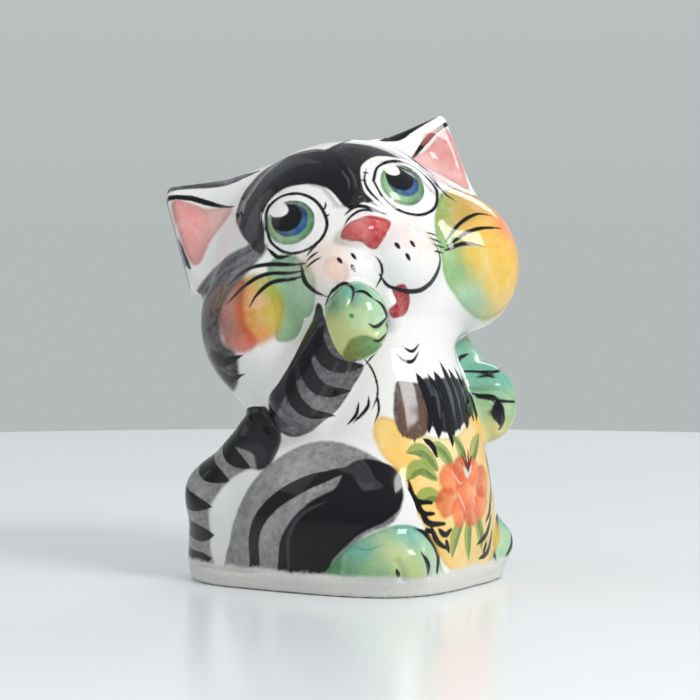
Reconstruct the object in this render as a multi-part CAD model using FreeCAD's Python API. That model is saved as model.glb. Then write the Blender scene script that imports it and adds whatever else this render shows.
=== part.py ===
import FreeCAD, Part
import math
import os

# A hollow, slip-cast porcelain cat, hand painted and glazed. Millimetres, +Z up.
# The origin is the middle of the footprint, on the surface that the cat stands on.
# The body is in profile and faces +X; the haunch side that is on display faces -Y.
# The head is turned towards the viewer of that side, tipped up and leaning.
# "Right" and "left" are the cat's own. Every sculpted form is its own solid, and the
# forms meet face to face, as they do before the slip that joins them is fired.

# --- driving dimensions -------------------------------------------------------
WALL = 2.6                    # cast wall of torso and head
BASE_THICKNESS = 2.4          # plate that closes the torso underneath
VENT_DIAMETER = 8.0           # hole that lets the slip drain and the kiln gas out
NECK_DIAMETER = 10.0          # passage between the torso's hollow and the head's

HEAD_CENTRE = (-0.3, -0.2, 48.7)
HEAD_TURN = 39.0              # degrees that the face is turned from -Y towards +X
HEAD_TILT = 14.0              # degrees that the face looks up
HEAD_LEAN = 16.0              # degrees that the cat's left side of the head is raised

# Ellipsoids of the head. Places and radii go across, up and out of the face.
CRANIUM_PLACE = (0.0, 3.0, -2.0)
CRANIUM_RADII = (18.0, 15.8, 16.0)
JAW_PLACE = (0.0, -9.0, 1.0)
JAW_RADII = (13.0, 9.0, 11.0)
RIGHT_CHEEK = ((-15.6, -7.0, -1.0), (9.3, 11.6, 10.5))      # place, radii
LEFT_CHEEK = ((16.2, -4.8, -1.0), (9.8, 11.0, 10.5))
PUFF_PLACE = (4.4, -5.5, 11.5)
PUFF_RADII = (6.0, 5.0, 5.6)           # each half of the muzzle
NOSE_PLACE = (0.0, -0.2, 15.2)
NOSE_RADII = (3.4, 2.2, 2.4)
TONGUE_PLACE = (0.8, -11.0, 12.0)
TONGUE_RADII = (2.0, 3.0, 3.0)

# Left lock of the forelock, across and up; the right one mirrors it. The locks overlap
# on the parting, and stand proud of the forehead.
LOCK_OUTLINE = ((-0.4, 4.2), (2.0, 5.0), (3.0, 8.6), (5.5, 10.9), (9.0, 10.6), (12.0, 8.4), (13.6, 4.6),
                (15.4, 3.6), (15.6, 8.2), (13.4, 11.6), (9.6, 14.4), (5.0, 16.4), (-0.4, 15.2))
LOCK_RELIEF = 0.9

EAR_TIP = (21.6, 17.6, -6.5)
EAR_ROOT = (14.6, 8.6, -4.0)
EAR_ROOT_RADII = (9.0, 3.6)            # half the width and half the thickness
EAR_TIP_RADII = (2.0, 0.85)

HAUNCH_RADII = (14.5, 8.6, 12.4)
HAUNCH_PLACE = (3.2, 11.6, 10.0)       # on the left side; the right side mirrors it
FOOT_RADII = (8.8, 6.0, 5.4)
FOOT_PLACE = (12.2, 12.8, 5.0)
RAISED_PAW = ((10.6, -15.6, 39.3), (4.6, 4.4, 5.6))         # place, radii
LOWERED_PAW = ((17.2, 12.0, 26.6), (4.8, 4.4, 6.0))

# Limbs as (x, y, z, radius) stations.
RAISED_ARM_PATH = ((1.0, -15.0, 28.0, 5.0), (7.0, -15.3, 37.5, 4.0))
LOWERED_ARM_PATH = ((8.6, 15.0, 33.0, 5.0), (14.0, 13.0, 28.5, 4.6))
TAIL_PATH = ((-18.4, -8.0, 5.0, 5.0), (-15.3, -12.4, 13.0, 4.8), (-7.0, -15.0, 21.5, 3.6))

# Torso cross-sections from the bottom up. Each is a rounded box on the formula
# |x/length|^n + |y/width|^n = 1, given as (z, middle x, half length, half width, n).
TORSO_SECTIONS = (
    (BASE_THICKNESS, -0.3, 20.8, 17.2, 3.6),
    (6.0, -0.2, 20.9, 17.4, 3.4),
    (13.0, 0.4, 20.4, 17.0, 3.0),
    (19.0, 1.8, 18.6, 16.0, 2.7),
    (25.0, 2.8, 16.4, 15.0, 2.4),
    (32.0, 2.6, 14.4, 13.4, 2.2),
    (40.0, 2.0, 10.0, 10.0, 2.0),
)
SECTION_POINTS = 32
BASE_OUTLINE = (-0.3, 21.6, 19.3, 3.5)  # middle x, half length, half width, n
NECK_FOOT = (2.6, 0.0, 32.0)           # middle of the neck passage where it leaves the torso
TOUCHING = 0.001                       # forms nearer than this are trimmed to each other
UNDERSIDE = 100.0                      # side of a block that reaches past the cat all round

SIDES = ((-1, "right"), (1, "left"))
BODY_AXES = (FreeCAD.Vector(1, 0, 0), FreeCAD.Vector(0, 1, 0), FreeCAD.Vector(0, 0, 1))


# --- places -------------------------------------------------------------------
def head_axes():
    """Unit vectors across the face (towards the cat's left), up it, and out of it."""
    turn, tilt, lean = (math.radians(a) for a in (HEAD_TURN, HEAD_TILT, HEAD_LEAN))
    out = FreeCAD.Vector(math.sin(turn) * math.cos(tilt),
                         -math.cos(turn) * math.cos(tilt), math.sin(tilt))
    level = FreeCAD.Vector(math.cos(turn), math.sin(turn), 0)
    rise = out.cross(level)
    across = level * math.cos(lean) + rise * math.sin(lean)
    up = rise * math.cos(lean) - level * math.sin(lean)
    return across, up, out


HEAD_AXES = head_axes()
ACROSS, UP, OUT = HEAD_AXES


def in_head(across, up, out):
    """Point given in the head's own directions, from the head's centre."""
    return FreeCAD.Vector(*HEAD_CENTRE) + ACROSS * across + UP * up + OUT * out


def mirrored(place, side):
    """A place on the head's left half (+1), or its mirror image on the right half (-1)."""
    return (side * place[0], place[1], place[2])


def across_body(place, side):
    """A place on the body's left side (+1, +Y), or its mirror image on the right side (-1)."""
    return (place[0], side * place[1], place[2])


# --- forms --------------------------------------------------------------------
def in_axes(axes, radii, centre):
    """Matrix that takes a unit form to the centre, stretched by the radii along the axes."""
    first, second, third = (axis * radius for axis, radius in zip(axes, radii))
    return FreeCAD.Matrix(first.x, second.x, third.x, centre.x,
                          first.y, second.y, third.y, centre.y,
                          first.z, second.z, third.z, centre.z,
                          0, 0, 0, 1)


def two_halves(half):
    """A round form made of two half turns, so that no face closes on itself."""
    other = half.copy()
    other.rotate(FreeCAD.Vector(0, 0, 0), FreeCAD.Vector(0, 0, 1), 180)
    return half.fuse(other).Solids[0]


def ellipsoid(centre, radii, axes):
    """Solid ellipsoid with its three radii along the three given axes."""
    middle = FreeCAD.Vector(0, 0, 0)
    ball = two_halves(Part.makeSphere(1.0, middle, FreeCAD.Vector(0, 0, 1), -90, 90, 180))
    return ball.transformGeometry(in_axes(axes, radii, FreeCAD.Vector(*centre)))


def head_ellipsoid(place, radii):
    """Ellipsoid placed and turned with the head; radii go across, up and out of the face."""
    return ellipsoid(in_head(*place), radii, HEAD_AXES)


def fused(solids):
    """The solids joined into one."""
    whole = solids[0]
    for solid in solids[1:]:
        whole = whole.fuse(solid)
    return whole


def limb(path):
    """Tapering round limb through (x, y, z, radius) stations, with round ends."""
    pieces = []
    for start, end in zip(path, path[1:]):
        base = FreeCAD.Vector(*start[:3])
        run = FreeCAD.Vector(*end[:3]) - base
        pieces.append(Part.makeCone(start[3], end[3], run.Length, base, run))
    for x, y, z, radius in path:
        pieces.append(Part.makeSphere(radius, FreeCAD.Vector(x, y, z)))
    return fused(pieces).removeSplitter()


def rounded_box_wire(z, middle_x, half_length, half_width, power):
    """Closed smooth outline |x/a|^n + |y/b|^n = 1 at height z."""
    points = []
    for i in range(SECTION_POINTS):
        angle = 2 * math.pi * (i + 0.5) / SECTION_POINTS
        c, s = math.cos(angle), math.sin(angle)
        reach = (abs(c / half_length) ** power + abs(s / half_width) ** power) ** (-1 / power)
        points.append(FreeCAD.Vector(middle_x + reach * c, reach * s, z))
    outline = Part.BSplineCurve()
    outline.interpolate(points, PeriodicFlag=True)
    return Part.Wire([outline.toShape()])


def torso_form(inset=0.0):
    """The torso as a solid, or its hollow when it is inset by the wall."""
    wires = [rounded_box_wire(z, x, a - inset, b - inset, n) for z, x, a, b, n in TORSO_SECTIONS]
    return Part.makeLoft(wires, True, False)


def base_form():
    """Plate under the torso, feet and haunches, with an upright edge."""
    outline = rounded_box_wire(0.0, *BASE_OUTLINE)
    return Part.Face(outline).extrude(FreeCAD.Vector(0, 0, BASE_THICKNESS))


def ear_form(side):
    """Ear as a flattened cone with a round tip. side is +1 for the cat's left."""
    root = in_head(*mirrored(EAR_ROOT, side))
    tip = in_head(*mirrored(EAR_TIP, side))
    along = (tip - root).normalize()
    wide = along.cross(OUT).normalize()
    axes = (wide, along.cross(wide), along)
    length = (tip - root).Length
    taper = EAR_TIP_RADII[0] / EAR_ROOT_RADII[0]
    middle = FreeCAD.Vector(0, 0, 0)
    cone = two_halves(Part.makeCone(1.0, taper, 1.0, middle, FreeCAD.Vector(0, 0, 1), 180))
    cone = cone.transformGeometry(in_axes(axes, (*EAR_ROOT_RADII, length), root))
    return cone.fuse(ellipsoid(tip, (*EAR_TIP_RADII, EAR_TIP_RADII[1]), axes))


def fringe_form():
    """Forelock: two locks parted over the nose, cut from a skin over the forehead."""
    skin = head_ellipsoid(CRANIUM_PLACE, [radius + LOCK_RELIEF for radius in CRANIUM_RADII])
    locks = []
    for side, _ in SIDES:
        points = [in_head(side * across, up, 0) for across, up in LOCK_OUTLINE]
        face = Part.Face(Part.makePolygon(points + points[:1]))
        locks.append(face.extrude(OUT * (CRANIUM_RADII[2] + LOCK_RELIEF)))
    return fused(locks).common(skin)


# --- assembly -----------------------------------------------------------------
def hollow_form():
    """The air inside: torso, head and the neck passage between them."""
    torso_air = torso_form(WALL)
    head_air = head_ellipsoid(CRANIUM_PLACE, [radius - WALL for radius in CRANIUM_RADII])
    neck_base = FreeCAD.Vector(NECK_FOOT)
    passage = Part.makeCylinder(NECK_DIAMETER / 2, HEAD_CENTRE[2] - neck_base.z, neck_base)
    return fused([torso_air, passage, head_air])


def make_forms():
    """Sculpted forms by name, in the order in which a later form gives way to earlier ones."""
    head = fused([head_ellipsoid(CRANIUM_PLACE, CRANIUM_RADII),
                  head_ellipsoid(JAW_PLACE, JAW_RADII)])
    puffs = [head_ellipsoid(mirrored(PUFF_PLACE, side), PUFF_RADII) for side, _ in SIDES]
    forms = {"base_plate": base_form(), "head_shell": head, "torso_shell": torso_form()}
    forms["right_cheek"] = head_ellipsoid(*RIGHT_CHEEK)
    forms["left_cheek"] = head_ellipsoid(*LEFT_CHEEK)
    forms["muzzle"] = fused(puffs)
    forms["nose"] = head_ellipsoid(NOSE_PLACE, NOSE_RADII)
    forms["tongue"] = head_ellipsoid(TONGUE_PLACE, TONGUE_RADII)
    forms["forelock"] = fringe_form()
    for side, name in SIDES:
        forms[name + "_ear"] = ear_form(side)
        forms[name + "_haunch"] = ellipsoid(across_body(HAUNCH_PLACE, side), HAUNCH_RADII, BODY_AXES)
        forms[name + "_foot"] = ellipsoid(across_body(FOOT_PLACE, side), FOOT_RADII, BODY_AXES)
    forms["tail"] = limb(TAIL_PATH)
    forms["raised_arm"] = limb(RAISED_ARM_PATH)
    forms["lowered_arm"] = limb(LOWERED_ARM_PATH)
    forms["raised_paw"] = ellipsoid(*RAISED_PAW, BODY_AXES)
    forms["lowered_paw"] = ellipsoid(*LOWERED_PAW, BODY_AXES)
    return forms


def fitted(forms):
    """Each form less the hollow, the vent, the space below it and every form before it."""
    air = hollow_form()
    vent = Part.makeCylinder(VENT_DIAMETER / 2, BASE_THICKNESS)
    corner = FreeCAD.Vector(-UNDERSIDE / 2, -UNDERSIDE / 2, BASE_THICKNESS - UNDERSIDE)
    below = Part.makeBox(UNDERSIDE, UNDERSIDE, UNDERSIDE, corner)
    done = {}
    for name, form in forms.items():
        taken = [vent] if name == "base_plate" else [below, air]
        for earlier, solid in forms.items():
            if earlier == name:
                break
            if earlier != "base_plate" and form.distToShape(solid)[0] < TOUCHING:
                taken.append(solid)
        rest = form
        for solid in taken:
            rest = rest.cut(solid)
        done[name] = max(rest.Solids, key=lambda solid: solid.Volume)
    return done


def main():
    pieces = fitted(make_forms())
    whole = Part.makeCompound(list(pieces.values()))
    box = whole.optimalBoundingBox()
    centring = FreeCAD.Vector(-box.Center.x, -box.Center.y, 0)
    os.makedirs("parts", exist_ok=True)
    for name, solid in pieces.items():
        solid.translate(centring)
        solid.exportStep("parts/" + name + ".step")
    print("pieces", len(pieces), "size", [round(v, 2) for v in (box.XLength, box.YLength, box.ZMax)])
    print("centring", [round(v, 2) for v in centring])


main()
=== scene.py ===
import functools
import math
import bpy
import numpy as np
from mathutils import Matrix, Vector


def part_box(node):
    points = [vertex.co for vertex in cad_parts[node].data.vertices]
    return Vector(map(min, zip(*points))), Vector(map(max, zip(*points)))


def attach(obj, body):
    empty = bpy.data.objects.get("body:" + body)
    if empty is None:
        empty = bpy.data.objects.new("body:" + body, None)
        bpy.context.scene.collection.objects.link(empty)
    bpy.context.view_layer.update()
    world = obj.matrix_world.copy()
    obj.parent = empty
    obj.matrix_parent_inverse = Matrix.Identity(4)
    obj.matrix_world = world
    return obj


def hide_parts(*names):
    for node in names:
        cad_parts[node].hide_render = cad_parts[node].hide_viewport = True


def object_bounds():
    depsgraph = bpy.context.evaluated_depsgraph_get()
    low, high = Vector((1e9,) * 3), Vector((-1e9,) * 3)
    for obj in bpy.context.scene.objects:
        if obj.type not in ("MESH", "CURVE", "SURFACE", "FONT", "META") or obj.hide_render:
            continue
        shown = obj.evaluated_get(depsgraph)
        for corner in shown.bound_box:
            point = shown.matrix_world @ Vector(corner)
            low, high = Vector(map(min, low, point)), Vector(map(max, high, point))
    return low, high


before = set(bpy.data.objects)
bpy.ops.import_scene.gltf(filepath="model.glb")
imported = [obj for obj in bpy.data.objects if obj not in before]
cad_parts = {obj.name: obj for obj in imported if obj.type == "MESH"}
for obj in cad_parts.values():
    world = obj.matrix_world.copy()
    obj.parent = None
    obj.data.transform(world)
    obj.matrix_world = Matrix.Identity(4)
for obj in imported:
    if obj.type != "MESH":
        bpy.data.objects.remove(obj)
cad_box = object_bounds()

# A hand-painted porcelain cat. The skin is one smooth surface, worked out from
# blended forms, and cut into the same named pieces as the CAD model. Lengths are
# in millimetres until the meshes are made. Lists of places are (x, y, z) in the
# body's directions, or (across, up, out) in the head's.

MM = 0.001
FAR = 9.0                               # stands for a long way off, in millimetres
GRID_STEP = 0.7       # spacing of the surface before the paint refines it
FINE_EDGE = 0.24     # longest triangle side along a brush stroke
REFINE_ROUNDS = 3                       # each one halves the triangles that the paint's edges cross
WALL = 1.5                              # thickness of the modelled skin

# --- the frame ----------------------------------------------------------------
DESIGN_HEIGHT = 70.39
BASE_MIDDLE_X = -0.3
plate_low, plate_high = (np.array(corner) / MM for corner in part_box("base_plate"))
ORIGIN = (plate_low + plate_high) / 2 - (BASE_MIDDLE_X, 0, 0)
ORIGIN[2] = 0.0
BASE_TOP = plate_high[2]
UNIT = (cad_box[1][2] - cad_box[0][2]) / MM / DESIGN_HEIGHT


def frame_of(turn, tilt, lean):
    """Rows across, up and out for something turned from -Y to +X, tipped up and leaning."""
    turn, tilt, lean = np.radians((turn, tilt, lean))
    out = np.array((math.sin(turn) * math.cos(tilt), -math.cos(turn) * math.cos(tilt), math.sin(tilt)))
    level = np.array((math.cos(turn), math.sin(turn), 0.0))
    rise = np.cross(out, level)
    across = level * math.cos(lean) + rise * math.sin(lean)
    up = rise * math.cos(lean) - level * math.sin(lean)
    return np.stack((across, up, out))


HEAD_CENTRE = np.array((-0.3, -0.2, 48.7))
HEAD_AXES = frame_of(turn=39.0, tilt=14.0, lean=16.0)


def to_head(points):
    return (points - HEAD_CENTRE) @ HEAD_AXES.T


# --- distance to simple forms, negative inside ---------------------------------
def egg(points, centre, radii):
    scaled = (points - centre) / radii
    near = np.linalg.norm(scaled, axis=1)
    slope = np.linalg.norm(scaled / radii, axis=1)
    return near * (near - 1.0) / np.maximum(slope, 1e-9)


def limb(points, start, end, start_radius, end_radius):
    start, end = np.array(start), np.array(end)
    run = end - start
    share = np.clip((points - start) @ run / (run @ run), 0, 1)
    return (np.linalg.norm(points - start - share[:, None] * run, axis=1)
            - (start_radius + (end_radius - start_radius) * share))


def blend(first, second, reach):
    """Union of two forms with a fillet of about the given reach."""
    overlap = np.maximum(reach - np.abs(first - second), 0) / reach
    return np.minimum(first, second) - overlap * overlap * reach / 4


def step_between(low, high, values):
    share = np.clip((values - low) / (high - low), 0, 1)
    return share * share * (3 - 2 * share)


def smooth_table(at, heights, rows):
    """Cubic interpolation through rows of values given at rising heights."""
    heights, rows = np.array(heights), np.array(rows)
    slopes = np.gradient(rows, heights, axis=0)
    at = np.clip(at, heights[0], heights[-1])
    k = np.clip(np.searchsorted(heights, at) - 1, 0, len(heights) - 2)
    width = (heights[k + 1] - heights[k])[:, None]
    t = ((at - heights[k])[:, None]) / width
    return ((2 * t**3 - 3 * t**2 + 1) * rows[k] + (t**3 - 2 * t**2 + t) * width * slopes[k]
            + (3 * t**2 - 2 * t**3) * rows[k + 1] + (t**3 - t**2) * width * slopes[k + 1])


# Torso cross-sections, |x/length|^n + |y/width|^n = 1: (z, middle x, half length, half width, n).
TORSO_SECTIONS = ((0.0, -0.3, 20.8, 17.2, 3.6), (6.0, -0.2, 20.9, 17.4, 3.4),
                  (13.0, 0.4, 20.4, 17.0, 3.0), (19.0, 1.8, 18.6, 16.0, 2.7),
                  (25.0, 2.8, 16.4, 15.0, 2.4), (32.0, 2.6, 14.4, 13.4, 2.2),
                  (40.0, 2.0, 10.0, 10.0, 2.0))
BASE_OUTLINE = (BASE_MIDDLE_X, 21.6, 19.3, 3.5)
BASE_ROUNDING = 0.6


def rounded_box(points, middle_x, half_length, half_width, power):
    x, y = points[:, 0] - middle_x, points[:, 1]
    reach = (np.abs(x / half_length) ** power + np.abs(y / half_width) ** power) ** (1 / power) + 1e-6
    return np.hypot(x, y) * (1 - 1 / reach)


def torso(points):
    heights = [section[0] for section in TORSO_SECTIONS]
    rows = smooth_table(points[:, 2], heights, [section[1:] for section in TORSO_SECTIONS])
    side = rounded_box(points, *rows.T)
    return np.maximum(side, points[:, 2] - heights[-1])


def base_plate(points):
    side = rounded_box(points, *BASE_OUTLINE) + BASE_ROUNDING
    lid = np.abs(points[:, 2] - BASE_TOP / 2) - BASE_TOP / 2 + BASE_ROUNDING
    outside = np.hypot(np.maximum(side, 0), np.maximum(lid, 0))
    return outside + np.minimum(np.maximum(side, lid), 0) - BASE_ROUNDING


def triangle(across, up, corners):
    """Distance to a flat triangle."""
    points = np.stack((across, up), axis=1)
    corners = np.array(corners)
    nearest, inner = np.inf, np.inf
    turn = np.sign(np.cross(corners[1] - corners[0], corners[2] - corners[0]))
    for start, end in zip(corners, np.roll(corners, -1, axis=0)):
        edge, offset = end - start, points - start
        share = np.clip(offset @ edge / (edge @ edge), 0, 1)
        nearest = np.minimum(nearest, np.linalg.norm(offset - share[:, None] * edge, axis=1))
        inner = np.minimum(inner, turn * (edge[0] * offset[:, 1] - edge[1] * offset[:, 0]))
    return np.where(inner > 0, -nearest, nearest)


EAR_CORNERS = ((9.5, 15.6), (22.5, 4.0), (22.0, 18.2))     # crown side, cheek side, tip
EAR_SET_BACK = 3.0
EAR_LEAN = 0.22             # how fast the ear goes back, beyond EAR_BEND
EAR_BEND = 12.0
EAR_FRONT, EAR_REAR = 1.3, 1.5
EAR_ROUNDING = 1.15
EAR_HOLLOW = 0.9


def ear_depth(head, side):
    """How far in front of the middle of the ear's leaf a place is."""
    across = head[:, 0] * side
    return head[:, 2] + EAR_SET_BACK + EAR_LEAN * np.maximum(across - EAR_BEND, 0)


def ear(head, side):
    """Rounded triangular leaf, hollowed in front, that leans back towards its tip."""
    across = head[:, 0] * side
    flat = triangle(across, head[:, 1], EAR_CORNERS)
    lean = ear_depth(head, side)
    hollow = EAR_HOLLOW * np.exp(-((across - 18.6) / 3.0) ** 2 - ((head[:, 1] - 12.6) / 3.4) ** 2)
    leaf = np.maximum(lean - EAR_FRONT + hollow, -lean - EAR_REAR)
    outside = np.hypot(np.maximum(flat, 0), np.maximum(leaf, 0))
    return outside + np.minimum(np.maximum(flat, leaf), 0) - EAR_ROUNDING


# --- the forms of the cat ------------------------------------------------------
SIDES = ((-1, "right"), (1, "left"))


def forms(points):
    """Distance to each named form."""
    head = to_head(points)
    found = {"base_plate": base_plate(points), "torso_shell": torso(points)}
    found["head_shell"] = blend(egg(head, (0, 3.0, -2.0), (18.0, 15.8, 16.0)),
                                egg(head, (0, -9.0, 1.0), (13.0, 9.0, 11.0)), 6)
    found["right_cheek"] = egg(head, (-15.6, -7.0, -1.0), (9.3, 11.6, 10.5))
    found["left_cheek"] = egg(head, (16.2, -4.8, -1.0), (9.8, 11.0, 10.5))
    puffs = []
    for side, name in SIDES:
        mirror = np.array((side, 1, 1))
        body_mirror = np.array((1, side, 1))
        found[name + "_ear"] = ear(head, side)
        found[name + "_haunch"] = egg(points, body_mirror * (3.2, 11.6, 10.0), (14.5, 8.6, 12.4))
        found[name + "_foot"] = egg(points, body_mirror * (12.2, 12.8, 5.0), (8.8, 6.0, 5.4))
        puffs.append(egg(head, mirror * (4.4, -5.5, 11.5), (6.0, 5.0, 5.6)))
    found["muzzle"] = blend(*puffs, 2)
    found["nose"] = egg(head, (0, -0.2, 15.0), (3.4, 2.2, 2.2))
    found["tongue"] = egg(head, (0.8, -11.0, 12.0), (2.0, 3.0, 3.0))
    lower_tail = limb(points, (-18.4, -8.0, 4.0), (-15.3, -12.4, 13.0), 5.0, 4.8)
    found["tail"] = blend(lower_tail, limb(points, (-15.3, -12.4, 13.0), (-7.0, -15.0, 21.5), 4.8, 3.6),
                          3)
    found["raised_arm"] = limb(points, (1.0, -15.0, 28.0), (7.0, -15.3, 37.5), 5.0, 4.0)
    found["lowered_arm"] = limb(points, (8.6, 15.0, 33.0), (14.0, 13.0, 28.5), 5.0, 4.6)
    found["raised_paw"] = egg(points, (10.6, -15.6, 39.3), (4.6, 4.4, 5.6))
    found["lowered_paw"] = egg(points, (17.2, 12.0, 26.6), (4.8, 4.4, 6.0))
    return found


# How softly each form runs into what is there before it.
FILLETS = (("base_plate", 1.6), ("right_haunch", 3.0), ("left_haunch", 3.0), ("tail", 3.0),
           ("right_foot", 1.6), ("left_foot", 1.6))
HEAD_FILLETS = (("right_cheek", 5.0), ("left_cheek", 5.0), ("right_ear", 4.5), ("left_ear", 4.5),
                ("muzzle", 4.0), ("nose", 1.0), ("tongue", 0.8))
LIMB_FILLETS = (("raised_arm", 2.4), ("lowered_arm", 3.0), ("raised_paw", 1.2), ("lowered_paw", 2.0))
NECK_FILLET = 6.0


def skin(points):
    """Distance to the outside of the whole cat."""
    found = forms(points)
    body = found["torso_shell"]
    for name, reach in FILLETS:
        body = blend(body, found[name], reach)
    head = found["head_shell"]
    for name, reach in HEAD_FILLETS:
        head = blend(head, found[name], reach)
    whole = blend(body, head, NECK_FILLET)
    for name, reach in LIMB_FILLETS:
        whole = blend(whole, found[name], reach)
    return np.maximum(whole, -points[:, 2])


# Forms that own a little more, or less, of the skin than their distance alone gives them.
OWN_MORE = {"nose": 0.5, "tongue": 0.3, "muzzle": 0.6, "right_ear": 0.8, "left_ear": 0.8,
            "right_cheek": 0.5, "left_cheek": 0.5, "raised_paw": 0.4, "lowered_paw": 0.4,
            "right_foot": 0.3, "left_foot": 0.3,
            "raised_arm": 0.5, "lowered_arm": 0.5, "tail": 0.4, "right_haunch": 0.6, "left_haunch": 0.6}
PIECES = ("base_plate", "torso_shell", "head_shell", "right_cheek", "left_cheek", "muzzle", "nose",
          "tongue", "forelock", "right_ear", "left_ear", "right_haunch", "left_haunch", "right_foot",
          "left_foot", "tail", "raised_arm", "raised_paw", "lowered_arm", "lowered_paw")
VENT_RADIUS = 4.0


def ownership(points):
    """Distance to each piece's share, in the order of PIECES; the lowest one owns the point."""
    found = forms(points)
    head = to_head(points)
    table = np.empty((len(points), len(PIECES)))
    for column, name in enumerate(PIECES):
        if name == "forelock":
            table[:, column] = found["head_shell"] + forelock_edge(head)
        else:
            table[:, column] = found[name] - OWN_MORE.get(name, 0)
    # The plate owns everything under its top, and nothing above it.
    under = points[:, 2] - BASE_TOP
    table[:, 0] = table[:, 1:].min(axis=1) + under * 4
    return table


# Outline of one lock of the fringe, across and up from the middle of the face.
LOCK = ((-0.4, 4.2), (2.0, 5.0), (3.0, 8.6), (5.5, 10.9), (9.0, 10.6), (12.0, 8.4), (13.6, 4.6),
        (15.4, 3.6), (15.6, 8.2), (13.4, 11.6), (9.6, 14.8), (5.0, 16.8), (-0.4, 15.2))


def outline_distance(across, up, corners):
    """Distance to a closed outline, negative inside."""
    nearest = np.full(len(across), np.inf)
    inside = np.zeros(len(across), bool)
    for (x0, y0), (x1, y1) in zip(corners, corners[1:] + corners[:1]):
        dx, dy = x1 - x0, y1 - y0
        share = np.clip(((across - x0) * dx + (up - y0) * dy) / (dx * dx + dy * dy), 0, 1)
        nearest = np.minimum(nearest, np.hypot(across - x0 - share * dx, up - y0 - share * dy))
        crosses = (y0 > up) != (y1 > up)
        slope = np.where(crosses, (x1 - x0) * (up - y0) / np.where(crosses, y1 - y0, 1) + x0, -np.inf)
        inside ^= crosses & (across < slope)
    return np.where(inside, -nearest, nearest)


def forelock_edge(head):
    """Distance to the fringe's outline, kept off the back of the head."""
    edge = outline_distance(np.abs(head[:, 0]), head[:, 1], LOCK)
    return np.where(head[:, 2] > 0, edge, FAR)


# Eyeballs as places on the face and radii. Creases between toes and fingers, as degrees
# round the body and height, with their depth.
EYEBALLS = (((-8.9, 5.1), 4.2), ((9.1, 6.0), 4.6))
GROOVES = ((((55, 7.4), (59, 2.8)), 0.35), (((46, 5.4), (48, 2.8)), 0.35),
           (((39, 37.8), (46, 39.4)), 0.45), (((31, 43.8), (30, 41.6)), 0.45),
           (((113, 29.0), (123, 27.2)), 0.4), (((115, 27.2), (119, 22.8)), 0.4),
           (((121, 33.0), (117, 30.8)), 0.35))
ARC = 0.33                  # millimetres round the body per degree, at the middle of the waist
WAIST_X = 0.5               # the axis that the degrees go round
LOCK_HEIGHT, LOCK_EDGE = 0.55, 0.35
EYE_HEIGHT, EYE_FLAT = 0.4, 0.4
GROOVE_WIDTH = 0.45


def relief(points):
    """Height of the sculpted detail that stands on the skin."""
    head = to_head(points)
    height = LOCK_HEIGHT * step_between(LOCK_EDGE, -LOCK_EDGE, forelock_edge(head))
    for place, size in EYEBALLS:
        gap = np.hypot(head[:, 0] - place[0], head[:, 1] - place[1]) + FAR * (head[:, 2] < 0)
        height += EYE_HEIGHT * step_between(size, EYE_FLAT * size, gap)
    angle = np.degrees(np.arctan2(points[:, 0] - WAIST_X, -points[:, 1])) * ARC
    for knots, depth in GROOVES:
        gap = np.full(len(points), FAR)
        knots = np.array(knots) * (ARC, 1)
        for (u, v), (du, dv) in zip(knots, knots[1:] - knots[:-1]):
            share = np.clip(((angle - u) * du + (points[:, 2] - v) * dv) / (du * du + dv * dv), 0, 1)
            gap = np.minimum(gap, np.hypot(angle - u - share * du, points[:, 2] - v - share * dv))
        height -= depth * np.exp(-(gap / GROOVE_WIDTH) ** 2)
    return height


def surface(points):
    return skin(points) - relief(points)


def gradient(points, reach=0.05):
    slopes = np.empty_like(points)
    for axis in range(3):
        shift = np.zeros(3)
        shift[axis] = reach
        slopes[:, axis] = surface(points + shift) - surface(points - shift)
    return slopes / (2 * reach)


def settle(points, rounds=3):
    """Move points onto the surface."""
    for _ in range(rounds):
        slopes = gradient(points)
        size = np.maximum((slopes * slopes).sum(axis=1), 0.05)
        move = (surface(points) / size)[:, None] * slopes
        length = np.linalg.norm(move, axis=1, keepdims=True)
        points = points - move * np.minimum(1, 0.4 / np.maximum(length, 1e-9))
    return points


# --- a mesh of the surface -----------------------------------------------------
def sample_grid(low, high, step):
    """Surface distance on a grid. Far from the surface only a coarse grid is worked out."""
    coarse_every = 4
    counts = [int(math.ceil((b - a) / step / coarse_every)) * coarse_every + 1 for a, b in zip(low, high)]
    axes = [low[i] + step * np.arange(counts[i]) for i in range(3)]
    rough = np.stack(np.meshgrid(*[axis[::coarse_every] for axis in axes], indexing="ij"), axis=-1)
    rough_values = surface(rough.reshape(-1, 3)).reshape(rough.shape[:3])
    values = rough_values
    for axis in range(3):
        values = np.repeat(values, coarse_every, axis=axis)
    shift = coarse_every // 2
    values = np.pad(values, 1, mode="edge")
    window = [slice(1 + shift, 1 + shift + count) for count in counts]
    values = values[tuple(window)]
    near = np.abs(values) < step * coarse_every * 1.6
    where = np.argwhere(near)
    values[near] = surface(np.array(low) + step * where)
    return values


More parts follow.
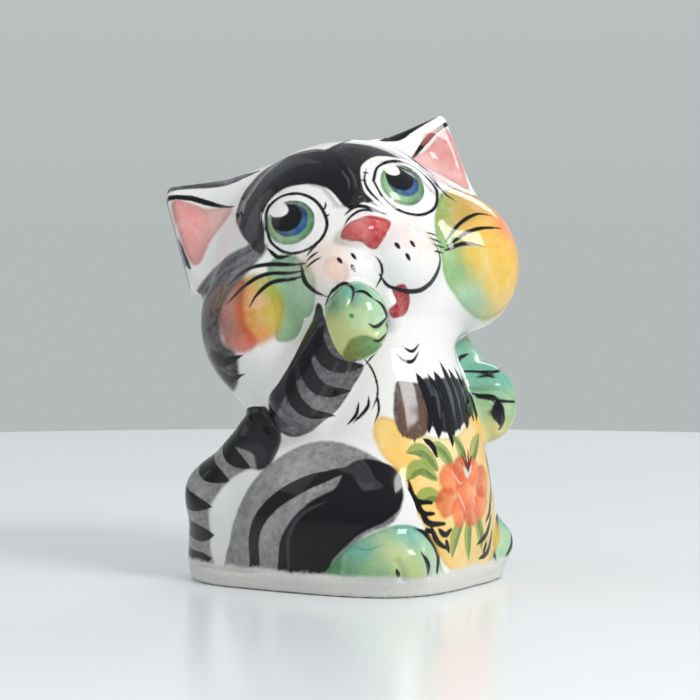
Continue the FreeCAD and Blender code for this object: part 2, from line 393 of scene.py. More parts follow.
def surface_net(values, low, step):
    """Quads through the grid cells that the surface crosses."""
    inside = values < 0
    shape = np.array(values.shape) - 1
    total = np.zeros((*shape, 3))
    hits = np.zeros(shape)
    quads = []
    crossings = []
    for axis in range(3):
        first = [slice(None)] * 3
        second = [slice(None)] * 3
        first[axis], second[axis] = slice(0, -1), slice(1, None)
        start, end = values[tuple(first)], values[tuple(second)]
        cross = inside[tuple(first)] != inside[tuple(second)]
        share = np.where(cross, start / np.where(cross, start - end, 1), 0)
        others = [i for i in range(3) if i != axis]
        for i in (0, 1):
            for j in (0, 1):
                window = [slice(None)] * 3
                window[others[0]] = slice(i, i + shape[others[0]])
                window[others[1]] = slice(j, j + shape[others[1]])
                met = cross[tuple(window)]
                hits += met
                total[..., axis] += share[tuple(window)] * met
                total[..., others[0]] += i * met
                total[..., others[1]] += j * met
        crossings.append(cross)
    active = hits > 0
    index = np.full(shape, -1)
    index[active] = np.arange(active.sum())
    cells = np.argwhere(active)
    points = np.array(low) + step * (cells + total[active] / hits[active][:, None])
    for axis in range(3):
        u, v = (axis + 1) % 3, (axis + 2) % 3
        where = np.argwhere(crossings[axis])
        inner = (where[:, u] > 0) & (where[:, v] > 0) & (where[:, u] < shape[u]) & (where[:, v] < shape[v])
        where = where[inner]
        corners = []
        for i, j in ((1, 1), (0, 1), (0, 0), (1, 0)):
            cell = where.copy()
            cell[:, u] -= i
            cell[:, v] -= j
            corners.append(index[tuple(cell.T)])
        quad = np.stack(corners, axis=1)
        outward = inside[tuple(where.T)]
        quad[~outward] = quad[~outward][:, ::-1]
        quads.append(quad)
    return points, np.concatenate(quads)


def cut_quads(points, quads):
    """Triangles from quads, across the shorter diagonal."""
    first = np.linalg.norm(points[quads[:, 0]] - points[quads[:, 2]], axis=1)
    second = np.linalg.norm(points[quads[:, 1]] - points[quads[:, 3]], axis=1)
    plain = first <= second
    a, b = quads[plain], quads[~plain]
    return np.concatenate((a[:, (0, 1, 2)], a[:, (0, 2, 3)], b[:, (0, 1, 3)], b[:, (1, 2, 3)]))


def triangle_edges(triangles):
    """Each edge once, and for each triangle the numbers of its three edges."""
    edges = np.sort(np.concatenate((triangles[:, (0, 1)], triangles[:, (1, 2)], triangles[:, (2, 0)])),
                    axis=1)
    unique, number = np.unique(edges, axis=0, return_inverse=True)
    return unique, number.reshape(3, -1).T


def split_edges(points, triangles, numbers, middle):
    """Cut triangles at new points on their edges. middle holds a point's number, or -1, per edge."""
    cut = middle[numbers]
    marked = cut >= 0
    amount = marked.sum(axis=1)
    done = [triangles[amount == 0]]
    for wanted in (1, 2, 3):
        rows = np.nonzero(amount == wanted)[0]
        corners, cuts, marks = triangles[rows], cut[rows], marked[rows]
        if wanted == 1:
            turn = marks.argmax(axis=1)
        elif wanted == 2:
            turn = ((~marks).argmax(axis=1) + 1) % 3
        else:
            turn = np.zeros(len(rows), int)
        order = (turn[:, None] + np.arange(3)) % 3
        a, b, c = np.take_along_axis(corners, order, axis=1).T
        p, q, r = np.take_along_axis(cuts, order, axis=1).T
        if wanted == 1:
            done += [np.stack((a, p, c), 1), np.stack((p, b, c), 1)]
        elif wanted == 2:
            first, second = points[a] - points[q], points[p] - points[c]
            short = np.linalg.norm(first, axis=1) < np.linalg.norm(second, axis=1)
            done.append(np.stack((p, b, q), 1))
            done.append(np.stack((a, p, np.where(short, q, c)), 1))
            done.append(np.stack((np.where(short, a, p), q, c), 1))
        else:
            done += [np.stack((a, p, r), 1), np.stack((p, b, q), 1), np.stack((r, q, c), 1),
                     np.stack((p, q, r), 1)]
    return np.concatenate(done)


RELAX_SHARE = 0.6           # how far each point goes towards the middle of its neighbours


def relax(points, triangles, rounds=3):
    """Even out the spacing of a closed mesh along the surface."""
    edges, _ = triangle_edges(triangles)
    count = np.bincount(edges.ravel(), minlength=len(points))[:, None]
    for _ in range(rounds):
        total = np.zeros_like(points)
        for axis in range(3):
            total[:, axis] = (np.bincount(edges[:, 0], points[edges[:, 1], axis], len(points))
                              + np.bincount(edges[:, 1], points[edges[:, 0], axis], len(points)))
        points = settle(points + RELAX_SHARE * (total / count - points), rounds=1)
    return settle(points, rounds=2)


def cut_by_owner(points, triangles):
    """Add points where the skin passes from one piece to the next, and say who owns each triangle."""
    table = ownership(points)
    owner = table.argmin(axis=1)
    edges, numbers = triangle_edges(triangles)
    a, b = edges.T
    crossing = np.nonzero(owner[a] != owner[b])[0]
    a, b = a[crossing], b[crossing]
    at_a = table[a, owner[a]] - table[a, owner[b]]
    at_b = table[b, owner[a]] - table[b, owner[b]]
    share = np.clip(at_a / (at_a - at_b), 0.03, 0.97)[:, None]
    added = settle(points[a] * (1 - share) + points[b] * share, rounds=2)
    middle = np.full(len(edges), -1)
    middle[crossing] = len(points) + np.arange(len(crossing))
    points = np.concatenate((points, added))
    triangles = split_edges(points, triangles, numbers, middle)
    centre = points[triangles].mean(axis=1)
    return points, triangles, ownership(centre).argmin(axis=1)


def wall_depth(points, outward):
    """How far the skin can go inwards without meeting the skin on the other side."""
    depth = np.full(len(points), WALL)
    for share in (1.0, 0.75, 0.5, 0.3):
        reach = WALL * share * 1.6
        shallow = surface(points - outward * reach) > -0.62 * reach
        depth = np.where(shallow, np.minimum(depth, WALL * share * 0.55), depth)
    return depth


def thickened(owned, inner_offset):
    """A closed shell from a piece's share of the skin: skin, inner face and rim between them."""
    edges = np.concatenate((owned[:, (0, 1)], owned[:, (1, 2)], owned[:, (2, 0)]))
    forward = {tuple(edge) for edge in edges.tolist()}
    rim = np.array([edge for edge in edges.tolist() if (edge[1], edge[0]) not in forward])
    inner = owned[:, ::-1] + inner_offset
    walls = []
    if len(rim):
        a, b = rim.T
        walls = [np.stack((b, a, a + inner_offset), 1),
                 np.stack((b, a + inner_offset, b + inner_offset), 1)]
    return np.concatenate([owned, inner] + walls)


# --- paint ----------------------------------------------------------------------
WHITE = (0.79, 0.785, 0.765)
BISCUIT = (0.62, 0.62, 0.58)
BLACK = (0.004, 0.004, 0.006)
SLATE = (0.028, 0.030, 0.038)
SPONGE = (0.135, 0.135, 0.143)
DARK_SPONGE = (0.060, 0.061, 0.068)
BROWN = (0.12, 0.065, 0.045)
GREEN = (0.055, 0.24, 0.075)
LIGHT_GREEN = (0.22, 0.44, 0.17)
TEAL = (0.07, 0.36, 0.25)
OLIVE = (0.12, 0.17, 0.012)
YELLOW = (0.82, 0.46, 0.03)
ORANGE = (0.84, 0.20, 0.02)
VERMILION = (0.60, 0.07, 0.025)
RED = (0.44, 0.012, 0.02)
ROSE = (0.66, 0.20, 0.18)
BLUSH = (0.74, 0.40, 0.28)
NAVY = (0.006, 0.022, 0.11)
BLUE = (0.02, 0.08, 0.30)
MINT = (0.33, 0.56, 0.35)

HEAD_PIECES = ("head_shell", "right_cheek", "left_cheek", "muzzle", "nose", "tongue", "forelock",
               "right_ear", "left_ear")
BODY_PIECES = ("torso_shell", "right_haunch", "left_haunch", "right_foot", "left_foot", "tail",
               "raised_arm", "lowered_arm")
EDGE = 0.06                 # softness of a brushed edge
BRISTLE = 0.22              # width of the streak that one bristle leaves
STREAK = 2.5                # length of such a streak
PAINT_ENDS = 3.1            # height at which the glaze and paint give way to the bare rim
RIM_BLUR = 0.35


# Odd multipliers that scatter the bits of a cell's number.
CELL_STEP, CELL_MIX, END_MIX = 362437, 69069, 1274126177


def noise(points, size, seed=0):
    """Smooth random value between -1 and 1, that changes over about the given length."""
    scaled = points / size + 500.0
    cell = np.floor(scaled).astype(np.int64)
    part = scaled - cell
    part = part * part * (3 - 2 * part)
    total = np.zeros(len(points))
    for corner in np.ndindex(*(2,) * points.shape[1]):
        mixed = np.full(len(points), 97 + 131 * seed)
        weight = np.ones(len(points))
        for axis, side in enumerate(corner):
            mixed = (mixed * CELL_MIX + (cell[:, axis] + side) * CELL_STEP) & 0xFFFFFFFF
            mixed ^= mixed >> 15
            weight = weight * (part[:, axis] if side else 1 - part[:, axis])
        mixed = (mixed * END_MIX) & 0xFFFFFFFF
        total += weight * ((mixed ^ (mixed >> 13)) & 0xFFFF) / 0xFFFF
    return 2 * total - 1


def curve(knots, closed=False, per_span=6):
    """Smooth line through the given points."""
    knots = np.array(knots, float)
    if closed:
        knots = np.concatenate((knots[-1:], knots, knots[:2]))
    else:
        knots = np.concatenate((2 * knots[:1] - knots[1:2], knots, 2 * knots[-1:] - knots[-2:-1]))
    t = np.linspace(0, 1, per_span, endpoint=False)[:, None]
    spans = [0.5 * (2 * b + (c - a) * t + (2 * a - 5 * b + 4 * c - d) * t * t
                    + (3 * b - a - 3 * c + d) * t**3)
             for a, b, c, d in zip(knots, knots[1:], knots[2:], knots[3:])]
    return np.concatenate(spans + ([] if closed else [knots[-2:-1]]))


class Canvas:
    """Paint on the skin points of one piece. Colours are laid over each other in turn."""

    def __init__(self, points, piece):
        self.points, self.piece = points, piece
        self.colour = np.tile(WHITE, (len(points), 1)).astype(float)
        self.near = np.full(len(points), FAR)
        self.head = to_head(points)
        self.grain = 0.6 * noise(points, 0.22) + 0.4 * noise(points, 0.5, 1)
        self.cloud = 0.7 * noise(points, 2.6, 2) + 0.3 * noise(points, 0.9, 3)
        self.wobble = noise(points, 0.9, 4)
        x, y, z = points.T
        across, up, out = self.head.T
        leaf = ear_depth(self.head, np.sign(across))
        front = leaf > -0.1 if piece.endswith("_ear") else out > -7.0
        everywhere = np.ones(len(points), bool)
        round_front = np.degrees(np.arctan2(x - WAIST_X, -y))
        round_back = np.degrees(np.arctan2(x - WAIST_X, y))
        tail_side = np.where(round_front > 90, round_front - 360, round_front)
        self.charts = {
            "face": (across, up, front, 1.0),
            "nape": (-across, up, ~front if piece.endswith("_ear") else out < -2.0, 1.0),
            "body": (round_front, z, everywhere, ARC),
            "far": (round_back, z, y > 0, ARC),
            "spine": (tail_side + 90, z, everywhere, ARC),
        }

    def chosen(self, chart, line, margin, pieces):
        """Numbers and places of the points that a mark may touch, or none."""
        u, v, allowed, scale = self.charts[chart]
        if self.piece not in pieces:
            return None
        low, high = line.min(axis=0) - margin, line.max(axis=0) + margin
        near = allowed & (u * scale > low[0]) & (u * scale < high[0]) & (v > low[1]) & (v < high[1])
        rows = np.nonzero(near)[0]
        return (rows, u[rows] * scale, v[rows]) if len(rows) else None

    def lay(self, rows, cover, pigment):
        cover = np.clip(cover, 0, 1)[:, None]
        self.colour[rows] = self.colour[rows] * (1 - cover) + np.array(pigment) * cover

    def stroke(self, chart, knots, width, colour=BLACK, ends=(0.2, 0.1), strength=1.0, dry=0.0, on=None):
        """One brush stroke. The ends are its width there, as a share of the width in the middle."""
        scale = self.charts[chart][3]
        line = curve(np.array(knots, float) * (scale, 1))
        found = self.chosen(chart, line, width / 2 + 1.2, on or self.usual(chart))
        if found is None:
            return
        rows, u, v = found
        lengths = np.hypot(*(line[1:] - line[:-1]).T)
        start_at = np.concatenate(([0], np.cumsum(lengths)))
        edge = np.full(len(rows), FAR)
        place = np.zeros((len(rows), 2))
        for k, (start, end) in enumerate(zip(line, line[1:])):
            run = end - start
            du, dv = u - start[0], v - start[1]
            share = np.clip((du * run[0] + dv * run[1]) / max(run @ run, 1e-9), 0, 1)
            gap = np.hypot(du - share * run[0], dv - share * run[1])
            t = (start_at[k] + share * lengths[k]) / start_at[-1]
            opening = ends[0] + (1 - ends[0]) * np.sin(np.minimum(t / 0.4, 1) * math.pi / 2)
            closing = ends[1] + (1 - ends[1]) * np.sin(np.minimum((1 - t) / 0.5, 1) * math.pi / 2)
            reach = gap - width / 2 * np.minimum(opening, closing)
            closer = reach < edge
            edge[closer] = reach[closer]
            aside = (du * run[1] - dv * run[0]) / max(lengths[k], 1e-9)
            place[closer] = np.stack((t * start_at[-1] / STREAK, aside / BRISTLE), axis=1)[closer]
        edge = edge + 0.035 * self.wobble[rows]
        cover = step_between(EDGE, -EDGE, edge) * strength
        if dry:
            bristles = noise(place, 1.0, int(10 * width))
            cover = cover * (1 - dry * step_between(-0.1, 0.7, bristles + 0.3 * self.grain[rows]))
        self.lay(rows, cover, colour)
        self.near[rows] = np.minimum(self.near[rows], np.abs(edge))

    def wash(self, chart, knots, pools, soft=0.25, strength=0.95, rough=0.2, grainy=0.12, rim=0.2,
             opaque=False, on=None):
        """Watercolour inside an outline. Pools (u, v, colour) run into each other."""
        scale = self.charts[chart][3]
        line = curve(np.array(knots, float) * (scale, 1), closed=True)
        found = self.chosen(chart, line, soft + rough + 0.8, on or self.usual(chart))
        if found is None:
            return
        rows, u, v = found
        edge = outline_distance(u, v, [tuple(point) for point in line]) + rough * self.cloud[rows]
        weights = np.stack([1 / ((u - a * scale) ** 2 + (v - b) ** 2 + 0.8) ** 1.5 for a, b, _ in pools])
        weights *= np.exp(0.5 * self.cloud[rows] * np.linspace(-1, 1, len(pools))[:, None])
        weights /= weights.sum(axis=0)
        pigment = weights.T @ np.array([colour for _, _, colour in pools])
        shade = 1 - rim * np.exp(-((edge + 0.25) / 0.3) ** 2) + 0.10 * self.cloud[rows]
        pigment = pigment * shade[:, None]
        cover = step_between(soft, -soft, edge) * strength * (1 - grainy * (0.5 + self.grain[rows]))
        if not opaque:
            cover *= 1 - 0.22 * step_between(0.0, 1.0, self.cloud[rows])
        self.lay(rows, cover, np.clip(pigment, 0, 1))
        if soft < 0.4:
            self.near[rows] = np.minimum(self.near[rows], np.maximum(np.abs(edge) - soft / 2, 0))

    def tools(self, chart, on=None):
        """The wash and the stroke for one chart and some pieces."""
        return functools.partial(self.wash, chart, on=on), functools.partial(self.stroke, chart, on=on)

    def usual(self, chart):
        return HEAD_PIECES if chart in ("face", "nape") else BODY_PIECES


def paint_eye(canvas, centre, outline, iris_radius, pupil, pupil_radius, light, light_size):
    """Green iris with a blue inner ring, black pupil, one square light and the drawn outline."""
    def ring(middle, radius, tall=1.0, count=8, turn=0.0):
        angles = np.radians(np.arange(count) * 360 / count + turn)
        return [(middle[0] + radius * math.cos(a), middle[1] + radius * tall * math.sin(a)) for a in angles]

    wash, stroke = canvas.tools("face")
    cx, cy = centre
    wash(outline, ((cx, cy, WHITE),), soft=0.1, strength=1.0, rough=0.0, grainy=0, rim=0, opaque=True)
    wash(ring(centre, iris_radius),
         ((cx - 2.4, cy - 2.0, LIGHT_GREEN), (cx + 2.6, cy - 1.6, GREEN),
          (cx - 3.0, cy + 1.5, LIGHT_GREEN), (cx + 2.8, cy + 2, (0.03, 0.13, 0.06))), soft=0.08,
         strength=0.97, rough=0.0, rim=0.5)
    ring_middle = (pupil[0] * 0.7 + cx * 0.3 + 0.25, pupil[1] * 0.7 + cy * 0.3 - 0.35)
    wash(ring(ring_middle, pupil_radius + 0.35),
         ((cx + 1.5, cy - 1.4, BLUE), (cx - 1, cy + 2, NAVY), (cx + 2.5, cy + 1.5, NAVY)), soft=0.12,
         strength=0.95, rough=0.1, rim=0.3)
    wash(ring(pupil, pupil_radius), ((*pupil, BLACK),), soft=0.12, strength=1.0, rough=0.1, grainy=0,
         rim=0, opaque=True)
    a, b = light
    square = ((-0.9, 0.9), (0.8, 1.0), (1.0, -0.5), (0.1, -0.95), (-0.9, -0.4))
    corners = [(a + light_size * p, b + light_size * q) for p, q in square]
    wash(corners, ((a, b, WHITE),), soft=0.08, strength=1.0, rough=0.0, grainy=0, rim=0, opaque=True)
    stroke(list(outline) + [outline[0]], 0.5, ends=(0.9, 0.7))


def paint_face(canvas):
    wash, stroke = canvas.tools("face")
    # Cheeks: the watercolours first.
    wash(((11.4, -4.0), (12.6, 0.5), (14.6, 3.6), (17.4, 5.2), (22.0, 5.6), (26.8, 1.5), (27.6, -5.0),
          (25.0, -11.0), (20.6, -14.6), (16.4, -15.4), (12.9, -12.6), (11.0, -8.5)),
         ((12.6, -4.5, LIGHT_GREEN), (14.2, 2.0, (0.22, 0.34, 0.06)), (14.5, -12.5, MINT),
          (13.0, -8.5, LIGHT_GREEN), (17.0, -7.0, (0.72, 0.48, 0.03)), (17.4, 0.5, (0.50, 0.30, 0.02)),
          (19.6, -11.0, (0.74, 0.46, 0.03)), (19.0, -3.4, YELLOW), (22.0, -7.0, YELLOW),
          (24.6, -3.0, ORANGE), (21.5, 2.8, (0.62, 0.30, 0.05))), soft=0.3, strength=0.97, rim=0.15)
    wash(((-13.6, 0.4), (-10.6, 1.0), (-9.0, -1.4), (-8.8, -5.0), (-10.0, -8.8), (-12.4, -11.2),
          (-15.8, -10.9), (-15.0, -7.0), (-14.6, -3.0)),
         ((-10.2, -5.0, MINT), (-11.6, -1.0, GREEN), (-13.4, -10.0, (0.17, 0.36, 0.15)),
          (-14.6, -5, LIGHT_GREEN)), soft=0.3, strength=0.9)
    wash(((-18.0, 0.0), (-14.2, -1.2), (-13.2, -5.5), (-15.0, -9.6), (-18.6, -10.6), (-20.5, -7.5),
          (-19.6, -2.6)),
         ((-14.4, -3.0, (0.34, 0.34, 0.03)), (-15.0, -7.5, (0.52, 0.40, 0.03)),
          (-18.4, -4.0, (0.58, 0.20, 0.02)), (-17.8, -9.6, (0.66, 0.24, 0.02))), soft=0.9,
         strength=0.95)
    wash(((-20.4, -0.6), (-17.4, -0.6), (-18.6, -3.6), (-19.4, -7.2), (-18.4, -10.2), (-20.8, -11.0),
          (-22.8, -8.6), (-22.4, -3.6)),
         ((-19.4, -2.0, (0.30, 0.07, 0.03)), (-21.4, -6.0, (0.26, 0.07, 0.035)),
          (-19.4, -6.0, VERMILION), (-19.4, -10.0, (0.62, 0.08, 0.02))), soft=0.5, strength=0.88)
    wash(((-13.0, 3.4), (-17.0, 4.8), (-22.0, 3.2), (-26.8, -2.0), (-27.2, -9.0), (-25.4, -13.5),
          (-22.6, -14.6), (-21.6, -10.8), (-23.0, -8.2), (-22.2, -4.2), (-19.4, -1.2), (-15.0, 1.4)),
         ((-15.0, 3.0, (0.10, 0.10, 0.115)), (-19.5, 2.2, (0.07, 0.07, 0.08)), (-21.6, -1.4, BROWN),
          (-22.8, -6.0, (0.05, 0.035, 0.035)), (-24.0, -11.0, BLACK),
          (-25.5, -3.0, (0.03, 0.03, 0.036))), soft=0.35, strength=0.99, grainy=0.12, opaque=True)
    fur = ((((-23.4, 0.4), (-19.4, 3.2), (-14.0, 3.6)), 0.8),
           (((-24.0, -1.6), (-20.6, 1.4), (-16.0, 2.2)), 0.7),
           (((-25.0, -3.6), (-23.0, -0.4), (-20.0, 1.0)), 0.7))
    for knots, width in fur:
        stroke(knots, width, SLATE, strength=0.6, dry=0.5)
    stroke(((-24.6, -8.6), (-23.4, -10.8), (-20.8, -11.2)), 1.1, ends=(0.7, 0.05))
    stroke(((-24.6, -11.0), (-23.4, -13.2), (-21.2, -13.6)), 1.0, ends=(0.7, 0.05))
    stroke(((15.6, 4.4), (18.6, 5.6), (23.0, 4.2), (26.2, 0.4)), 1.5, SLATE, strength=0.62, dry=0.55)
    stroke(((26.4, -7.0), (25.0, -10.6)), 0.35, strength=0.8)
    # Muzzle and nose.
    wash(((-7.2, -3.6), (-5.4, -2.6), (-4.0, -4.4), (-4.6, -6.8), (-6.4, -7.0)), ((-5.6, -5, BLUSH),),
         soft=0.5, strength=0.5, rim=0.5)
    wash(((-10.0, -2.0), (-7.6, 0.4), (-4.0, 0.6), (-2.6, -2.4), (-5.0, -6.0), (-8.6, -6.2)),
         ((-7, -2, (0.80, 0.55, 0.42)),), soft=1.6, strength=0.5, rim=0)
    wash(((3.8, -0.6), (7.4, 0.4), (10.4, -2.4), (9.4, -6.0), (5.8, -6.0)),
         ((7, -3, (0.85, 0.66, 0.60)),), soft=1.6, strength=0.6, rim=0)
    wash(((-3.3, 0.0), (-1.9, 1.6), (1.2, 2.5), (3.6, 1.8), (5.0, 0.5), (3.4, -1.3), (2.2, -2.4),
          (1.0, -3.1), (-0.8, -1.8), (-2.4, -1.1)),
         ((-2.2, 0.2, (0.50, 0.04, 0.04)), (-0.4, 1.0, (0.62, 0.16, 0.14)), (1.4, -1.0, RED),
          (2.4, 0.4, (0.50, 0.025, 0.025)), (3.8, 0.6, (0.56, 0.05, 0.045))), soft=0.12, strength=1.0)
    wash(((1.8, -9.4), (3.7, -9.3), (4.2, -11.2), (3.2, -12.9), (0.9, -13.4), (0.2, -12.2),
          (1.7, -11.3)), ((2.8, -11.0, (0.36, 0.004, 0.010)),), soft=0.12, strength=1.0)
    stroke(((0.6, -4.2), (1.0, -5.8), (0.6, -7.3), (-0.6, -8.6)), 0.42)
    stroke(((0.4, -7.0), (1.1, -8.6), (2.5, -9.6), (4.4, -10.3), (6.4, -10.3), (8.5, -9.3),
            (10.2, -7.4), (10.8, -5.4), (10.4, -2.6)), 0.58, ends=(0.5, 0.15))
    stroke(((-9.5, -1.6), (-10.0, -4.4), (-9.2, -6.6), (-7.8, -8.0)), 0.52)
    spots = ((4.1, -3.8), (6.4, -4.1), (5.0, -5.9), (-4.7, -3.6), (-2.5, -3.5), (-3.2, -5.3))
    for a, b in spots:
        stroke(((a - 0.15, b + 0.6), (a + 0.05, b - 0.4)), 0.62, ends=(0.2, 0.6))
    # Whiskers, and the short hairs at their roots.
    whiskers = (((13.0, -3.6), (16.1, -1.4), (19.4, -0.4), (22.0, -1.0)),
                ((12.9, -4.4), (17.6, -2.9), (23.0, -3.3)), ((12.2, -5.0), (15.4, -4.6), (18.8, -5.8)),
                ((-9.0, -1.8), (-13.0, 0.2), (-16.5, 0.9), (-20.0, -0.4)),
                ((-9.6, -2.8), (-13.8, -1.0), (-17.2, -1.3), (-21.0, -3.2)),
                ((-9.9, -3.6), (-13.6, -2.4), (-16.4, -3.4), (-18.2, -5.0)))
    for knots in whiskers:
        stroke(knots, 0.66, ends=(0.35, 0.12))
    roots = ((10.0, -2.0, 11.9, -2.6), (9.9, -3.1, 12.2, -3.7), (9.6, -5.6, 12.0, -5.4),
             (9.9, -4.3, 12.6, -4.6), (-6.4, 0.4, -8.6, -0.9), (-6.8, -0.9, -8.9, -1.7),
             (-6.9, -2.0, -9.3, -2.7))
    for a, b, c, d in roots:
        stroke(((a, b), ((a + c) / 2, (b + d) / 2 + 0.15), (c, d)), 0.36)


def paint_ears(canvas):
    wash, stroke = canvas.tools("face")
    for side, name in SIDES:
        only = (name + "_ear",)
        inner = ((22.9, 16.6), (18.4, 14.4), (14.6, 12.6), (18.6, 9.4), (22.6, 6.2))
        wash([(side * a, b) for a, b in inner],
             ((side * 20, 13, ROSE), (side * 17, 12, (0.74, 0.40, 0.36))), soft=0.3, strength=0.9,
             on=only + ("head_shell",))
        stroke([(side * a, b) for a, b in ((23.4, 17.8), (20.2, 16.6), (17.4, 14.8), (14.4, 12.4))],
               0.85, ends=(0.8, 0.1), on=only + ("head_shell",))
        behind = [(-side * a, b) for a, b in ((9, 17), (24, 22), (27, 14), (23, 3), (14, 6))]
        canvas.wash("nape", behind, ((-side * 16, 14, SLATE), (-side * 22, 16, BLACK)), soft=0.5,
                    strength=0.93, on=only)
    wash(((19.6, 17.4), (21.4, 17.8), (19.6, 15.8), (17.6, 15.2)), ((19, 16.5, ROSE),), soft=0.4,
         strength=0.6, on=("left_ear",))
    stroke(((-24.4, 18.0), (-24.0, 12.0), (-23.2, 6.0)), 1.1, SLATE, ends=(0.9, 0.3), dry=0.2,
           strength=0.95)
    stroke(((-24.0, 18.9), (-20.0, 18.9), (-14.0, 17.4), (-9.0, 16.9)), 2.0, SLATE, dry=0.2,
           strength=0.95)
    stroke(((9.8, 16.9), (13.6, 17.0), (17.4, 18.4), (21.4, 19.4)), 1.6, ends=(0.15, 0.5))


def paint_fringe(canvas):
    wash, stroke = canvas.tools("face")
    ink = ((-11, 11, BLACK), (-6, 13, BLACK), (-1, 9, BLACK), (-14, 6, SLATE), (-8, 16, SLATE))
    wash(((-13.9, 2.4), (-15.4, 5.4), (-15.2, 9.8), (-13.2, 13.2), (-10.9, 15.2), (-7.0, 17.0),
          (-2.6, 17.0), (0.8, 15.0), (1.6, 10.0), (0.6, 5.8), (-1.0, 4.6), (-2.4, 8.0), (-4.9, 10.0),
          (-7.6, 10.6), (-10.2, 9.9), (-12.0, 8.0), (-12.6, 5.4)), ink, soft=0.12, strength=1.0,
         rough=0.1, grainy=0.0, opaque=True)
    wash(((-0.6, 4.2), (-0.6, 9.0), (0.6, 14.8), (2.5, 16.2), (4.6, 16.4), (7.4, 15.0), (11.0, 13.4),
          (13.6, 10.6), (15.2, 8.2), (16.0, 4.4), (14.5, 6.6), (12.8, 9.6), (10.5, 10.8), (7.5, 11.6),
          (5.6, 11.4), (3.8, 10.3), (2.9, 8.4), (2.7, 6.0), (4.0, 3.4), (2.0, 4.6)),
         ((2, 9, BLACK), (5, 14, BLACK), (9, 13, (0.03, 0.03, 0.036)), (13, 11, (0.09, 0.09, 0.10)),
          (15, 7, SLATE)), soft=0.12, strength=1.0, rough=0.1, grainy=0.02, opaque=True)
    # The lighter slate bands across both locks and the pale sheen lines beside the parting are painted
    # highlight, and the two locks are parted by a darker line.
    stroke(((-13.9, 6.0), (-12.6, 11.0), (-9.6, 14.0), (-5.0, 14.6), (-1.6, 12.8)), 2.6,
           (0.05, 0.054, 0.064), strength=0.55, dry=0.4)
    stroke(((-13.0, 11.6), (-9.8, 14.9), (-5.6, 16.0), (-2.0, 15.4), (0.4, 12.6)), 0.5, strength=0.9)
    stroke(((1.4, 14.2), (3.4, 15.2), (7.4, 13.8), (10.8, 12.4)), 1.3, (0.05, 0.054, 0.064),
           strength=0.5, dry=0.4)
    stroke(((0.7, 15.2), (0.9, 12.4), (0.4, 9.6)), 0.45, strength=0.9)
    # Painted highlight: pale grey lines beside the parting of the locks.
    sheen = (((0.6, 10.4), (0.9, 8.4), (0.4, 6.8)), ((1.7, 10.6), (1.9, 8.6), (1.6, 6.6)))
    for knots in sheen:
        stroke(knots, 0.35, (0.10, 0.105, 0.12), strength=0.5)
    stroke(((-1.4, 3.4), (0.6, 4.2), (2.4, 3.6), (4.7, 2.0)), 0.6, ends=(0.1, 0.2))
    stroke(((-2.1, 1.7), (-0.6, 2.9), (1.6, 3.4), (4.7, 2.0)), 0.42, ends=(0.1, 0.2))
    stroke(((4.4, 9.8), (3.4, 8.0), (3.5, 6.0), (4.9, 3.2)), 0.42, ends=(0.15, 0.3))
    for a, b in ((4.0, 9.2), (3.3, 8.0)):
        stroke(((a - 0.5, b + 0.1), (a + 0.5, b - 0.1)), 0.3)
    stroke(((12.4, 10.2), (14.4, 7.6), (15.3, 5.0), (17.2, 2.4)), 0.62, ends=(0.15, 0.1))
    stroke(((-4.4, 5.0), (-3.7, 5.4), (-3.2, 6.4)), 0.35)
    stroke(((-4.3, 4.0), (-3.4, 4.2)), 0.35)
    stroke(((-13.0, 2.8), (-12.0, 0.9), (-10.2, 0.4)), 0.6, ends=(0.3, 0.1))


def paint_crown(canvas):
    """The back of the head: a grey cap with dark stripes."""
    skull = ("head_shell", "right_cheek", "left_cheek")
    wash, stroke = canvas.tools("nape", skull)
    wash(((-9, 13.5), (0, 15.5), (9, 13.5), (12, 5), (8, -5), (0, -9), (-8, -5), (-12, 5)),
         ((0, 8, SPONGE), (0, -3, (0.34, 0.34, 0.35))), soft=0.8, strength=0.85, grainy=0.3)
    for side in (-1, 1):
        stroke(((side * 1.8, 13.6), (side * 4.0, 8.0), (side * 3.0, 1.0)), 2.2, dry=0.25)
        stroke(((side * 7.6, 12.0), (side * 9.4, 6.0), (side * 7.4, -0.6)), 2.0, dry=0.25)
        stroke(((side * 22, -4), (side * 18, -9), (side * 12, -12)), 2.4, SLATE, dry=0.4)
    stroke(((0, 4), (0, -3), (0, -9)), 1.8, dry=0.25)


